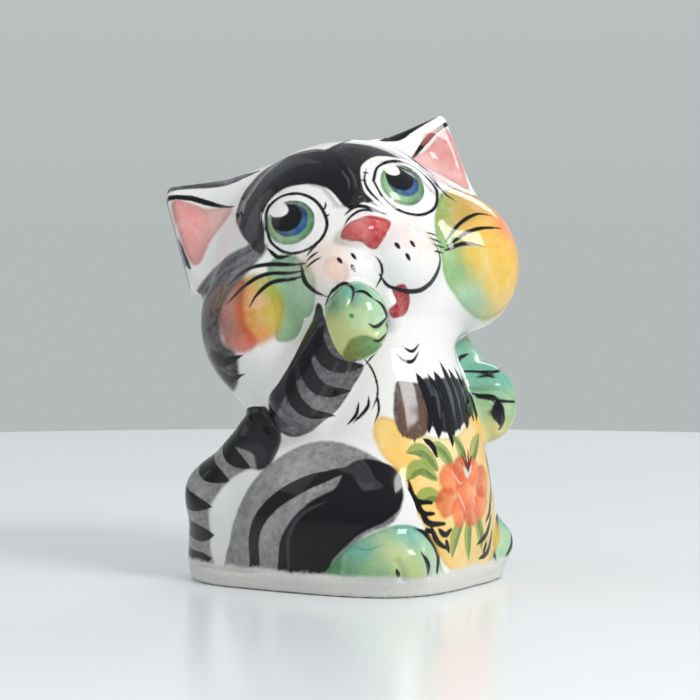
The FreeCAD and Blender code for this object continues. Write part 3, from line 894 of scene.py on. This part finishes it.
def paint_haunch(canvas, chart, name):
    owners = (name + "_haunch", "torso_shell")
    wash, stroke = canvas.tools(chart, owners)
    wash(((-32, 1.0), (-33, 7.0), (-28, 11.6), (-17, 17.0), (0, 20.8), (17, 22.0), (35, 20.9),
          (45, 18.6), (50.5, 16.0), (49, 13.0), (45, 10.6), (35, 8.8), (27, 6.0), (21, 2.0)),
         ((-25, 8, SPONGE), (0, 19, SPONGE), (25, 20, SPONGE), (0, 6, (0.15, 0.15, 0.16)),
          (38, 17, SLATE)), soft=0.25, strength=0.92, rough=0.25, grainy=0.22, rim=0.1)
    stroke(((30, 18.2), (22, 17.4), (8, 15.6), (-7, 12.4), (-16.5, 8.0), (-19, 0.5)), 2.3,
           ends=(0.3, 0.9))
    wash(((49, 18.2), (50.5, 15.6), (49, 13.0), (43, 10.9), (34, 9.2), (28, 7.2), (22, 4.6),
          (20.5, 1.0), (-2, 1.0), (-2.5, 6.0), (4, 10.4), (14, 13.6), (24, 15.6), (28, 18.4),
          (37, 19.6)), ((10, 6, BLACK), (34, 14, BLACK), (44, 15, BLACK), (20, 11, BLACK)), soft=0.15,
         strength=1.0, rough=0.12, grainy=0.0, opaque=True)
    stroke(((27, 18.9), (33, 18.4), (37, 16.4), (42, 15.9)), 2.6, SPONGE, ends=(0.8, 0.2),
           strength=0.22, dry=0.5)
    stroke(((33, 16.6), (36, 15.6), (40, 16.4)), 0.9, (0.08, 0.08, 0.09), strength=0.4, dry=0.3)
    stroke(((20, 13.6), (9, 11.4), (3, 7.6), (2, 1)), 0.7, (0.10, 0.10, 0.11), strength=0.35, dry=0.5)


def paint_foot(canvas, chart, name):
    owners = (name + "_foot", name + "_haunch", "torso_shell")
    wash, stroke = canvas.tools(chart, owners)
    wash(((20.5, 1.5), (23, 4.8), (30, 7.4), (40, 9.6), (49, 10.4), (56, 9.8), (62, 8.4), (66, 5.6),
          (66, 1.5)),
         ((33, 6.6, TEAL), (28, 4.0, GREEN), (38, 4.6, LIGHT_GREEN), (45, 6.4, (0.46, 0.54, 0.20)),
          (52, 9.2, TEAL), (52, 3.6, (0.40, 0.50, 0.14)), (61, 5, MINT)), soft=0.15, strength=0.93,
         rough=0.12)
    stroke(((54, 9.9), (60, 8.6), (65.5, 5.6), (64.5, 2.4)), 0.95, ends=(0.05, 0.4))
    stroke(((54.5, 6.6), (57, 5.0), (59, 2.6)), 0.75, ends=(0.15, 0.3))
    stroke(((45.5, 4.4), (47, 2.8)), 0.5)
    stroke(((30, 7.4), (36, 7.0), (42, 7.8)), 0.25, (0.06, 0.22, 0.16), strength=0.5)


def paint_tail(canvas):
    owners = ("tail", "torso_shell", "right_haunch", "raised_arm")
    wash, stroke = canvas.tools("body", owners)
    wash(((-14, 24.6), (-10, 22.0), (-11, 18.6), (-17, 17.4), (-23, 17.4), (-32, 15.6), (-38.5, 12.0),
          (-42.5, 8.0), (-44, 4.6), (-40, 1.0), (-74, 1.0), (-75, 12.0), (-62, 20.0), (-42, 25.0),
          (-26, 26.4)), ((-30, 18, SPONGE), (-42, 12, SPONGE), (-50, 6, SPONGE), (-30, 24, SLATE)),
         soft=0.25, strength=0.93, grainy=0.22)
    wash(((-10, 22.6), (-9.5, 20.4), (-13, 18.2), (-19, 17.6), (-20, 20.0), (-30, 21.0), (-44, 21.0),
          (-54, 22.0), (-40, 26.5), (-22, 26.8), (-13, 25.0)),
         ((-30, 23, BLACK), (-14, 20, (0.02, 0.021, 0.025))), soft=0.2, strength=1.0, rough=0.2,
         grainy=0.03, opaque=True)
    stroke(((-44, 24.0), (-60, 18.6), (-72, 11.0), (-72, 0.0)), 4.6, ends=(0.5, 0.9))
    bands = (((-22, 17.6), (-34, 21.6), 2.6), ((-31.5, 15.6), (-46, 18.6), 2.8),
             ((-38.5, 11.6), (-56, 13.8), 3.0), ((-41.5, 7.2), (-60, 8.6), 3.0),
             ((-44, 3.6), (-62, 3.4), 2.6))
    for tip, root, width in bands:
        middle = ((tip[0] + root[0]) / 2, (tip[1] + root[1]) / 2 - 0.4)
        stroke((root, middle, tip), width, ends=(1.0, 0.03))
    stroke(((-16, 24.3), (-11.5, 23.2), (-10.2, 20.8), (-13, 18.6)), 0.4, (0.16, 0.16, 0.17),
           strength=0.35)


def paint_back(canvas):
    """The side towards the tail: bands that carry on from it round the back."""
    owners = ("torso_shell", "tail", "left_haunch")
    stroke = canvas.tools("spine", owners)[1]
    for height, reach in ((27.0, 30), (21.5, 36), (15.5, 38), (9.5, 38)):
        stroke(((14, height - 1.5), (-2, height), (-reach, height - 3.4)), 3.6, SPONGE,
               ends=(0.9, 0.05), strength=0.85, dry=0.5)
        stroke(((14, height - 0.6), (-2, height + 0.6), (-reach + 5, height - 2.4)), 2.0,
               ends=(0.9, 0.04))


def paint_raised_arm(canvas):
    owners = ("raised_arm", "torso_shell", "tail", "head_shell", "right_cheek", "muzzle",
              "right_haunch")
    wash, stroke = canvas.tools("body", owners)
    wash(((14, 42.0), (10, 38.4), (4, 34.0), (-3, 30.4), (-13, 27.6), (-16.5, 25.4), (-11, 23.2),
          (-2, 22.4), (8, 23.0), (16, 24.8), (24, 26.8), (31, 29.8), (37, 32.8), (31, 33.6), (26, 36.0),
          (21, 39.0)),
         ((10, 38, SLATE), (0, 31, SLATE), (-12, 26, SLATE), (0, 23.6, DARK_SPONGE), (14, 25.6, SPONGE),
          (26, 29, DARK_SPONGE), (24, 34, DARK_SPONGE)), soft=0.12, strength=1.0, rough=0.12,
         grainy=0.16, opaque=True)
    wash(((14, 42.0), (9.6, 38.2), (3.6, 34.0), (-4, 30.0), (-14, 27.4), (-16.5, 25.4), (-13, 25.2),
          (-4, 26.0), (3, 29.0), (10, 31.6), (14, 34.0), (20, 38.6)),
         ((6, 36, BLACK), (0, 30, (0.022, 0.024, 0.03)), (-12, 26, BLACK)), soft=0.2, strength=1.0,
         rough=0.15, grainy=0.05, opaque=True)
    bands = ((((16, 38.6), (18, 35.0), (24, 33.0), (37, 32.8)), 2.2),
             (((10, 36.4), (12, 32.0), (18, 29.4), (30, 29.2)), 2.2),
             (((4, 33.0), (5, 29.0), (11, 26.2), (22, 25.6)), 2.0))
    for knots, width in bands:
        stroke(knots, width, ends=(0.5, 0.04), strength=0.96)
    stroke(((36, 34.4), (42, 32.0), (43.5, 29.0), (40, 26.4)), 0.42)
    stroke(((39, 28.6), (38, 26.8), (31, 24.6)), 0.55, ends=(0.2, 0.1))
    stroke(((34, 27.6), (32.5, 25.8), (28, 24.3)), 0.55, ends=(0.2, 0.1))
    stroke(((43, 29.0), (43.5, 26.6), (41, 24.6)), 0.42)


def paint_raised_paw(canvas):
    paw = ("raised_paw",)
    wash, stroke = canvas.tools("body", paw)
    wash(((14, 42), (24, 46), (38, 45), (54, 41), (58, 37), (50, 33), (34, 32), (24, 34), (16, 38)),
         ((24, 42, GREEN), (30, 44, TEAL), (25, 38.5, (0.55, 0.56, 0.16)), (32, 40, (0.40, 0.56, 0.26)),
          (42, 41, MINT), (48, 38, LIGHT_GREEN), (38, 36, (0.46, 0.56, 0.20)),
          (30, 35.4, (0.56, 0.53, 0.15))), soft=0.2, strength=0.95)
    wash(((27, 33.0), (28.5, 36.0), (35, 37.4), (43, 36.0), (36, 34.0)),
         ((30, 34.8, OLIVE), (38, 36, GREEN)), soft=0.25, strength=0.85)
    lines = ((((18, 41.6), (21, 43.4), (27, 44.8), (31, 43.9), (30.4, 41.8)), 0.55),
             (((31.4, 43.5), (35, 43.6), (39, 42.5)), 0.5),
             (((39, 42.5), (42.5, 41.6), (45, 39.8), (46, 37.6), (44.5, 35.2), (38, 33.0)), 0.75),
             (((36.5, 39.0), (39.5, 38.6), (43.5, 39.6), (45.5, 40.4)), 0.6),
             (((38, 36.8), (41, 36.6), (45, 37.8)), 0.5))
    for knots, width in lines:
        stroke(knots, width, on=("raised_paw", "muzzle", "head_shell", "torso_shell", "raised_arm"))
    stroke(((30, 40.4), (31, 39.9)), 0.5, GREEN)


def paint_chest(canvas):
    chest = ("torso_shell", "lowered_arm", "head_shell")
    wash, stroke = canvas.tools("body", chest)
    stroke(((55, 35.0), (59.5, 33.6), (65, 33.5), (71, 35.0)), 0.55, ends=(0.1, 0.1))
    stroke(((60, 35.6), (66, 34.9), (72, 36.0)), 0.5, ends=(0.1, 0.1))
    wash(((40, 23.6), (44, 25.6), (53, 24.8), (66, 22.6), (84, 22.6), (98, 25.0), (112, 27.0),
          (120, 22.0), (121, 12.0), (117, 5.0), (104, 2.4), (86, 2.2), (72, 3.4), (63, 7.6), (55, 12.4),
          (50.5, 17.4), (43, 20.2)),
         ((44, 23, (0.86, 0.54, 0.10)), (50, 19, (0.88, 0.52, 0.07)), (58, 13, (0.84, 0.52, 0.08)),
          (70, 6, (0.80, 0.52, 0.10)), (68, 21, (0.86, 0.70, 0.36)), (88, 4, (0.78, 0.56, 0.18)),
          (110, 24, (0.82, 0.46, 0.06)), (112, 8, (0.70, 0.48, 0.10)), (96, 23, (0.86, 0.58, 0.20))),
         soft=0.35, strength=0.95, rim=0.2, on=("torso_shell", "left_haunch", "left_foot"))
    wash(((52, 29.8), (56, 30.8), (63, 30.4), (69, 30.0), (69.5, 26.4), (65, 23.6), (58, 22.2),
          (52, 23.4), (50, 26.0)),
         ((54, 28, (0.10, 0.06, 0.05)), (64, 28, (0.05, 0.035, 0.032)), (60, 24, (0.08, 0.045, 0.032))),
         soft=0.2, strength=1.0, rough=0.3, grainy=0.12, opaque=True)
    wash(((67, 30.6), (76, 30.8), (92, 31.0), (108, 30.2), (112, 28.0), (109, 25.8), (96, 24.6),
          (82, 23.0), (70, 23.6), (66, 26.4)),
         ((74, 28, (0.03, 0.03, 0.04)), (88, 29, (0.06, 0.065, 0.085)), (102, 27, BLACK),
          (80, 24, BLACK)), soft=0.2, strength=1.0, rough=0.3, grainy=0.04, opaque=True)
    tufts = ((67, 31.8, 1.6), (74, 31.6, 1.2), (79, 32.0, 1.9), (87, 33.4, 1.5), (93, 32.2, 1.9),
             (101, 32.4, 1.3), (107, 31.2, 1.7))
    for base, top, width in tufts:
        stroke(((base - 2, top), (base + 1, 29.0), (base + 2, 26.4)), width, ends=(0.04, 0.8))
    hems = ((66, 23.0, 1.3), (71, 22.2, 2.0), (79, 20.8, 2.2), (87, 23.0, 1.5), (94, 23.2, 2.0),
            (103, 24.2, 1.5), (109, 24.0, 1.3))
    for base, low, width in hems:
        stroke(((base + 1, 27.6), (base + 1, 25.2), (base - 0.5, low)), width, ends=(0.8, 0.04))
    glints = ((73, 30.0, 25.0), (84, 31.4, 24.6), (90, 30.6, 26.0), (98, 30.8, 26.4))
    for base, top, low in glints:
        stroke(((base, top), (base + 1.5, 28.0), (base + 0.5, low)), 0.7, (0.11, 0.12, 0.16),
               strength=0.5, dry=0.6)
    for base, low in ((53, 22.6), (58, 21.8), (63, 23.0)):
        stroke(((base + 2, 27.6), (base + 1, 25.0), (base, low)), 1.5, BROWN, ends=(0.6, 0.05), dry=0.5)


def paint_flower(canvas):
    ground = ("torso_shell", "left_haunch", "left_foot", "lowered_arm")
    wash, stroke = canvas.tools("body", ground)
    leaves = (((66, 16.6), (58, 18.4), (52.5, 16.4)), ((67, 18.0), (60, 20.8), (53.5, 20.4)),
              ((77, 18.0), (70, 21.0), (66, 21.6)), ((92, 17.6), (97, 20.6), (107, 22.4)),
              ((86, 18.0), (84, 20.8), (80, 22.6)), ((84, 10.6), (77, 8.0), (75, 4.8)),
              ((89, 10.6), (88, 7.6), (89, 4.0)), ((95, 10.6), (99, 8.0), (101, 5.0)),
              ((68, 13.6), (61, 14.4), (55, 12.8)))
    for base, middle, tip in leaves:
        stroke((base, middle, tip), 2.1, (0.22, 0.33, 0.07), ends=(0.4, 0.05), strength=0.85, dry=0.35)
        side = (middle[0] + 1.5, middle[1] - 0.7)
        stroke((base, side, tip), 0.9, (0.08, 0.17, 0.04), ends=(0.5, 0.05), strength=0.75, dry=0.3)
    petals = ((75, 16.2, 2.5), (72, 13.0, 2.4), (80, 11.4, 2.3), (91, 11.3, 2.5), (99, 12.2, 2.4),
              (101, 15.4, 2.5), (93, 17.0, 2.3), (83, 17.4, 2.2), (86, 14.4, 3.0))
    for index, (middle, height, size) in enumerate(petals):
        ring = [(middle + size / ARC * math.cos(a) * 0.95, height + size * math.sin(a))
                for a in np.radians(range(0, 360, 60))]
        tone = VERMILION if index % 2 else (0.78, 0.13, 0.04)
        wash(ring,
             ((middle - 5, height + 1.5, tone), (middle + 5, height - 1.5, (0.86, 0.30, 0.14)),
              (middle, height - 2, tone)), soft=0.35, strength=0.86, rough=0.5, rim=0.12)
    veins = (((78, 14.6), (83, 12.6), (86, 10.8)), ((96, 15.8), (93, 13.6), (94, 11.4)),
             ((76, 17.4), (81, 15.6), (84, 15.8)))
    for knots in veins:
        stroke(knots, 0.5, (0.86, 0.50, 0.40), strength=0.6, dry=0.4)
    wash(((85, 17.8), (87, 16.2), (90, 16.4), (93, 18.0), (89, 17.4)), ((89, 17, WHITE),), soft=0.2,
         strength=0.9)
    for tip in ((83.5, 20.0), (87, 20.8), (91, 20.6), (95, 19.4)):
        stroke(((89, 17.0), ((89 + tip[0]) / 2, 18.8), tip), 0.42, (0.10, 0.012, 0.016))
    scrolls = (((53.5, 16.6), (55, 13.8), (63, 13.2)), ((57, 12.6), (61, 10.4), (70, 10.0)),
               ((55, 14.8), (58, 12.0), (64, 11.6)), ((62, 10.0), (65.5, 7.6), (71, 6.4)),
               ((66, 9.4), (70, 8.4), (74, 9.0)), ((62, 22.4), (66, 21.4), (68, 19.8)),
               ((96, 6.0), (105, 7.2), (111, 9.8)), ((98, 3.8), (107, 4.6), (112, 7.4)),
               ((104, 9.0), (109, 10.6), (112, 13.6)), ((110, 19.4), (114, 16.0), (114, 12.0)))
    for knots in scrolls:
        stroke(knots, 0.95, ends=(0.1, 0.5))
    dots = (((54, 14.0), (57, 13.6)), ((60, 9.4), (63, 9.0)), ((103, 4.8), (106, 6.2)),
            ((71, 7.4), (73, 5.6)))
    for knots in dots:
        stroke(knots, 0.8, ends=(0.8, 0.1))
    stroke(((117, 20.0), (120, 16.0), (119, 12.0)), 0.6, GREEN)


def paint_lowered_arm(canvas):
    both = ("lowered_paw", "lowered_arm")
    wash, stroke = canvas.tools("body", both)
    wash(((104, 34), (124, 37), (150, 36), (160, 26), (150, 18), (118, 18), (106, 24)),
         ((116, 33, TEAL), (122, 31, TEAL), (120, 26, LIGHT_GREEN), (132, 28, MINT),
          (116, 22, (0.62, 0.55, 0.18)), (130, 21, LIGHT_GREEN)), soft=0.5, strength=0.93)
    lines = ((((131, 34.2), (122, 33.0), (119, 31.6), (117.5, 30.6)), 0.5),
             (((124, 32.0), (116.5, 31.0), (113, 29.0), (115, 27.2), (122, 27.2), (126, 29.0)), 0.5),
             (((114.5, 27.4), (115.5, 25.0), (119, 22.6)), 1.1),
             (((128, 26.4), (124, 24.6), (124, 22.4)), 0.45))
    for knots, width in lines:
        stroke(knots, width)


def paint(points, piece):
    """Colours of the skin points of a piece, and how near each is to the edge of a mark."""
    canvas = Canvas(points, piece)
    if piece in HEAD_PIECES:
        paint_crown(canvas)
        paint_face(canvas)
        paint_ears(canvas)
        paint_fringe(canvas)
        paint_eye(canvas, (-8.9, 5.1),
                  ((-12.3, 5.6), (-11.2, 8.5), (-8.9, 9.6), (-6.5, 9.0), (-4.8, 7.2), (-4.1, 4.9),
                   (-4.3, 2.6), (-6.0, 0.8), (-8.5, 0.2), (-10.8, 1.1), (-12.2, 3.2)), 3.4, (-9.3, 5.9),
                  2.2, (-9.9, 7.4), 1.15)
        paint_eye(canvas, (9.1, 6.2),
                  ((4.7, 7.6), (6.3, 9.8), (9.0, 10.5), (11.9, 9.4), (13.9, 6.8), (14.4, 4.0),
                   (12.8, 1.7), (9.9, 1.1), (7.0, 2.2), (5.2, 4.6)), 3.6, (9.0, 7.3), 2.3, (8.3, 8.8),
                  1.1)
    paint_back(canvas)
    paint_tail(canvas)
    paint_haunch(canvas, "body", "right")
    paint_haunch(canvas, "far", "left")
    paint_foot(canvas, "body", "right")
    paint_foot(canvas, "far", "left")
    paint_chest(canvas)
    paint_flower(canvas)
    paint_raised_arm(canvas)
    paint_lowered_arm(canvas)
    paint_raised_paw(canvas)
    ragged = points[:, 2] + RIM_BLUR * canvas.cloud + 0.25 * canvas.grain
    rim = step_between(PAINT_ENDS + RIM_BLUR, PAINT_ENDS - RIM_BLUR, ragged)
    canvas.lay(slice(None), rim, BISCUIT)
    return canvas.colour, canvas.near


# --- pieces ---------------------------------------------------------------------
GRID_LOW = (-30.0, -26.0, -1.5)
GRID_HIGH = (26.0, 26.0, 73.0)
COLOUR_STEP = 0.10          # colour change along a side that calls for a finer mesh


def refine(points, triangles, is_skin, piece):
    """Add skin points along the edges of the paint, until the brush strokes are sharp."""
    colour, near = paint(points, piece)
    for _ in range(REFINE_ROUNDS):
        edges, numbers = triangle_edges(triangles)
        a, b = edges.T
        length = np.linalg.norm(points[a] - points[b], axis=1)
        change = np.abs(colour[a] - colour[b]).max(axis=1)
        close = np.minimum(near[a], near[b]) < length * 0.7
        wanted = is_skin[a] & is_skin[b] & (length > FINE_EDGE) & (close | (change > COLOUR_STEP))
        if not wanted.any():
            break
        chosen = np.nonzero(wanted)[0]
        added = settle((points[a[chosen]] + points[b[chosen]]) / 2, rounds=1)
        middle = np.full(len(edges), -1)
        middle[chosen] = len(points) + np.arange(len(chosen))
        points = np.concatenate((points, added))
        triangles = split_edges(points, triangles, numbers, middle)
        is_skin = np.concatenate((is_skin, np.ones(len(added), bool)))
        new_colour, new_near = paint(added, piece)
        colour = np.concatenate((colour, new_colour))
        near = np.concatenate((near, new_near))
    return points, triangles, is_skin, colour


def make_piece(name, points, triangles, normals, is_skin, colour, material):
    """One named mesh with its own skin normals and its paint as a colour attribute."""
    used, local = np.unique(triangles, return_inverse=True)
    local = local.reshape(-1, 3)
    mesh = bpy.data.meshes.new(name)
    world = (points[used] * UNIT + ORIGIN) * MM
    mesh.vertices.add(len(used))
    mesh.vertices.foreach_set("co", world.ravel())
    mesh.loops.add(local.size)
    mesh.loops.foreach_set("vertex_index", local.ravel())
    mesh.polygons.add(len(local))
    mesh.polygons.foreach_set("loop_start", np.arange(0, local.size, 3))
    mesh.polygons.foreach_set("use_smooth", np.ones(len(local), bool))
    mesh.update(calc_edges=True)
    layer = mesh.color_attributes.new("paint", "FLOAT_COLOR", "POINT")
    rgba = np.concatenate((colour[used], np.ones((len(used), 1))), axis=1)
    layer.data.foreach_set("color", rgba.ravel())
    a, b, c = (world[local[:, i]] for i in range(3))
    flat = np.cross(b - a, c - a)
    flat /= np.maximum(np.linalg.norm(flat, axis=1, keepdims=True), 1e-20)
    smooth = is_skin[used][local].all(axis=1)
    corner = np.where(smooth[:, None, None], normals[used][local], flat[:, None, :])
    mesh.materials.append(material)
    mesh.normals_split_custom_set(corner.reshape(-1, 3).tolist())
    piece = bpy.data.objects.new(name, mesh)
    bpy.context.scene.collection.objects.link(piece)
    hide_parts(name)
    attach(piece, "root")
    return piece


def make_skin(materials):
    grid = sample_grid(GRID_LOW, GRID_HIGH, GRID_STEP)
    points, quads = surface_net(grid, GRID_LOW, GRID_STEP)
    points = settle(points)
    triangles = cut_quads(points, quads)
    points = relax(points, triangles)
    points, triangles, owner = cut_by_owner(points, triangles)
    outward = gradient(points)
    outward /= np.linalg.norm(outward, axis=1, keepdims=True)
    inner = points - outward * wall_depth(points, outward)[:, None]
    offset = len(points)
    all_points = np.concatenate((points, inner))
    centre = points[triangles].mean(axis=1)
    vent = (np.hypot(centre[:, 0] - BASE_MIDDLE_X, centre[:, 1]) < VENT_RADIUS) & (centre[:, 2] < 0.2)
    for number, name in enumerate(PIECES):
        owned = triangles[(owner == number) & ~vent]
        shell = thickened(owned, offset)
        used, local = np.unique(shell, return_inverse=True)
        is_skin = used < offset
        result = refine(all_points[used], local.reshape(-1, 3), is_skin, name)
        piece_points, piece_triangles, piece_skin, colour = result
        normals = gradient(piece_points)
        normals /= np.maximum(np.linalg.norm(normals, axis=1, keepdims=True), 1e-9)
        colour[~piece_skin] = WHITE
        piece = make_piece(name, piece_points, piece_triangles, normals, piece_skin, colour,
                           materials[name])


# --- materials --------------------------------------------------------------------
SPECKLE_SCALE = 2600.0      # noise cells per metre: specks, patches of gloss, waves in the glaze
GLOSS_SCALE = 420.0
WAVE_SCALE = 150.0


def wire(material, source, output, target, socket):
    material.node_tree.links.new(source.outputs[output], target.inputs[socket])


def surface_material(name, roughness, speckle, wave_height, ior):
    """Painted ceramic: the paint attribute with fine speckle, uneven gloss and a slightly wavy face."""
    material = bpy.data.materials.new(name)
    material.use_nodes = True
    nodes = material.node_tree.nodes
    shader = nodes["Principled BSDF"]
    shader.inputs["IOR"].default_value = ior
    paint_layer = nodes.new("ShaderNodeVertexColor")
    paint_layer.layer_name = "paint"
    place = nodes.new("ShaderNodeTexCoord")

    def texture(scale, detail):
        node = nodes.new("ShaderNodeTexNoise")
        node.inputs["Scale"].default_value = scale
        node.inputs["Detail"].default_value = detail
        wire(material, place, "Object", node, "Vector")
        return node

    def ranged(source, low, high):
        node = nodes.new("ShaderNodeMapRange")
        node.inputs["From Min"].default_value, node.inputs["From Max"].default_value = 0.3, 0.7
        node.inputs["To Min"].default_value, node.inputs["To Max"].default_value = low, high
        wire(material, source, "Fac", node, "Value")
        return node

    fine = ranged(texture(SPECKLE_SCALE, 3.0), 1 - speckle, 1.0)
    mixed = nodes.new("ShaderNodeMix")
    mixed.data_type = "RGBA"
    mixed.blend_type = "MULTIPLY"
    mixed.inputs["Factor"].default_value = 1.0
    material.node_tree.links.new(paint_layer.outputs["Color"], mixed.inputs[6])
    material.node_tree.links.new(fine.outputs["Result"], mixed.inputs[7])
    material.node_tree.links.new(mixed.outputs[2], shader.inputs["Base Color"])
    wire(material, ranged(texture(GLOSS_SCALE, 4.0), *roughness), "Result", shader, "Roughness")
    bump = nodes.new("ShaderNodeBump")
    bump.inputs["Strength"].default_value = 0.5
    bump.inputs["Distance"].default_value = wave_height * MM
    wire(material, texture(WAVE_SCALE, 2.0), "Fac", bump, "Height")
    wire(material, bump, "Normal", shader, "Normal")
    return material


# --- camera, light and table --------------------------------------------------------
CAMERA_TURN = 31.0          # degrees from -Y towards +X
CAMERA_DISTANCE = 305.0
CAMERA_HEIGHT = 41.4
CAMERA_LENS = 102.34        # focal length on a 36 mm wide picture
CAMERA_DROP = 0.0614        # shift of the picture, as a share of its width
TABLE_RADIUS = 370.0
TABLE_THICKNESS = 20.0
LIGHT_TARGET = (0, 0, 34)
# Name, turn, distance and height of each light, then its size and its power in watts.
LIGHTS = (("window_right", 78, 420, 330, (170, 170), 1.75), ("window_left", -50, 600, 420, (500, 400), 0.5),
          ("window_back", 190, 420, 360, (300, 160), 0.6))
ROOM_LOW = (0.46, 0.49, 0.49)
ROOM_HIGH = (0.62, 0.64, 0.66)


def aim(item, place, target):
    """Put an object at a place, looking at a target. Both in millimetres."""
    place = np.array(place, float)
    direction = np.array(target, float) - place
    item.location = [float(value) * MM for value in place]
    yaw = math.atan2(-direction[0], direction[1])
    pitch = math.atan2(direction[2], math.hypot(direction[0], direction[1]))
    item.rotation_euler = (math.pi / 2 + pitch, 0, yaw)


def round_place(turn, distance, height):
    """A place seen from the cat: degrees from -Y towards +X, distance and height."""
    turn = math.radians(turn)
    return np.array((math.sin(turn) * distance, -math.cos(turn) * distance, height))


def make_camera():
    data = bpy.data.cameras.new("camera")
    data.sensor_width = 36.0
    data.lens = CAMERA_LENS
    data.shift_y = -CAMERA_DROP
    data.clip_start = 0.01
    data.clip_end = 20.0
    camera = bpy.data.objects.new("camera", data)
    bpy.context.scene.collection.objects.link(camera)
    aim(camera, ORIGIN + round_place(CAMERA_TURN, CAMERA_DISTANCE, CAMERA_HEIGHT),
        ORIGIN + (0, 0, CAMERA_HEIGHT))
    bpy.context.scene.camera = camera
    bpy.context.scene.view_settings.view_transform = "Standard"


def soft_light(name, place, size, power):
    data = bpy.data.lights.new(name, "AREA")
    data.shape = "RECTANGLE"
    data.size, data.size_y = size[0] * MM, size[1] * MM
    data.energy = power
    light = bpy.data.objects.new(name, data)
    bpy.context.scene.collection.objects.link(light)
    aim(light, place, LIGHT_TARGET)


def make_table():
    """Round glossy white table, whose rim gives the horizon behind the cat."""
    steps = 180
    turns = [2 * math.pi * k / steps for k in range(steps)]
    rim = [(TABLE_RADIUS * MM * math.cos(turn), TABLE_RADIUS * MM * math.sin(turn), 0) for turn in turns]
    under = [(x, y, -TABLE_THICKNESS * MM) for x, y, _ in rim]
    sides = [(k, (k + 1) % steps, steps + (k + 1) % steps, steps + k)[::-1] for k in range(steps)]
    mesh = bpy.data.meshes.new("table")
    mesh.from_pydata(rim + under, [], [tuple(range(steps))] + sides)
    table = bpy.data.objects.new("table", mesh)
    bpy.context.scene.collection.objects.link(table)
    material = bpy.data.materials.new("white_lacquer")
    material.use_nodes = True
    nodes, links = material.node_tree.nodes, material.node_tree.links
    shader = nodes["Principled BSDF"]
    place = nodes.new("ShaderNodeTexCoord")
    clouds = nodes.new("ShaderNodeTexNoise")
    clouds.inputs["Scale"].default_value = 9.0
    ramp = nodes.new("ShaderNodeMapRange")
    ramp.inputs["To Min"].default_value, ramp.inputs["To Max"].default_value = 0.16, 0.24
    tint = nodes.new("ShaderNodeValToRGB")
    tint.color_ramp.elements[0].color = (0.82, 0.84, 0.86, 1)
    tint.color_ramp.elements[1].color = (0.86, 0.875, 0.89, 1)
    links.new(place.outputs["Object"], clouds.inputs["Vector"])
    links.new(clouds.outputs["Fac"], ramp.inputs["Value"])
    links.new(clouds.outputs["Fac"], tint.inputs["Fac"])
    links.new(tint.outputs["Color"], shader.inputs["Base Color"])
    links.new(ramp.outputs["Result"], shader.inputs["Roughness"])
    mesh.materials.append(material)


def make_room():
    """A pale grey room that is lighter overhead."""
    world = bpy.data.worlds.new("room")
    world.use_nodes = True
    nodes, links = world.node_tree.nodes, world.node_tree.links
    place = nodes.new("ShaderNodeTexCoord")
    split = nodes.new("ShaderNodeSeparateXYZ")
    ramp = nodes.new("ShaderNodeValToRGB")
    ramp.color_ramp.elements[0].position = 0.04
    ramp.color_ramp.elements[0].color = (*ROOM_LOW, 1)
    ramp.color_ramp.elements[1].position = 0.6
    ramp.color_ramp.elements[1].color = (*ROOM_HIGH, 1)
    links.new(place.outputs["Generated"], split.inputs["Vector"])
    links.new(split.outputs["Z"], ramp.inputs["Fac"])
    links.new(ramp.outputs["Color"], nodes["Background"].inputs["Color"])
    nodes["Background"].inputs["Strength"].default_value = 1.0
    bpy.context.scene.world = world


make_camera()
make_table()
make_room()
for light_name, turn, distance, height, size, power in LIGHTS:
    soft_light(light_name, round_place(turn, distance, height), size, power)
glaze = surface_material("painted_glaze", roughness=(0.04, 0.12), speckle=0.05, wave_height=0.08, ior=1.36)
biscuit = surface_material("bare_rim", roughness=(0.32, 0.5), speckle=0.10, wave_height=0.12, ior=1.4)
make_skin({name: biscuit if name == "base_plate" else glaze for name in PIECES})
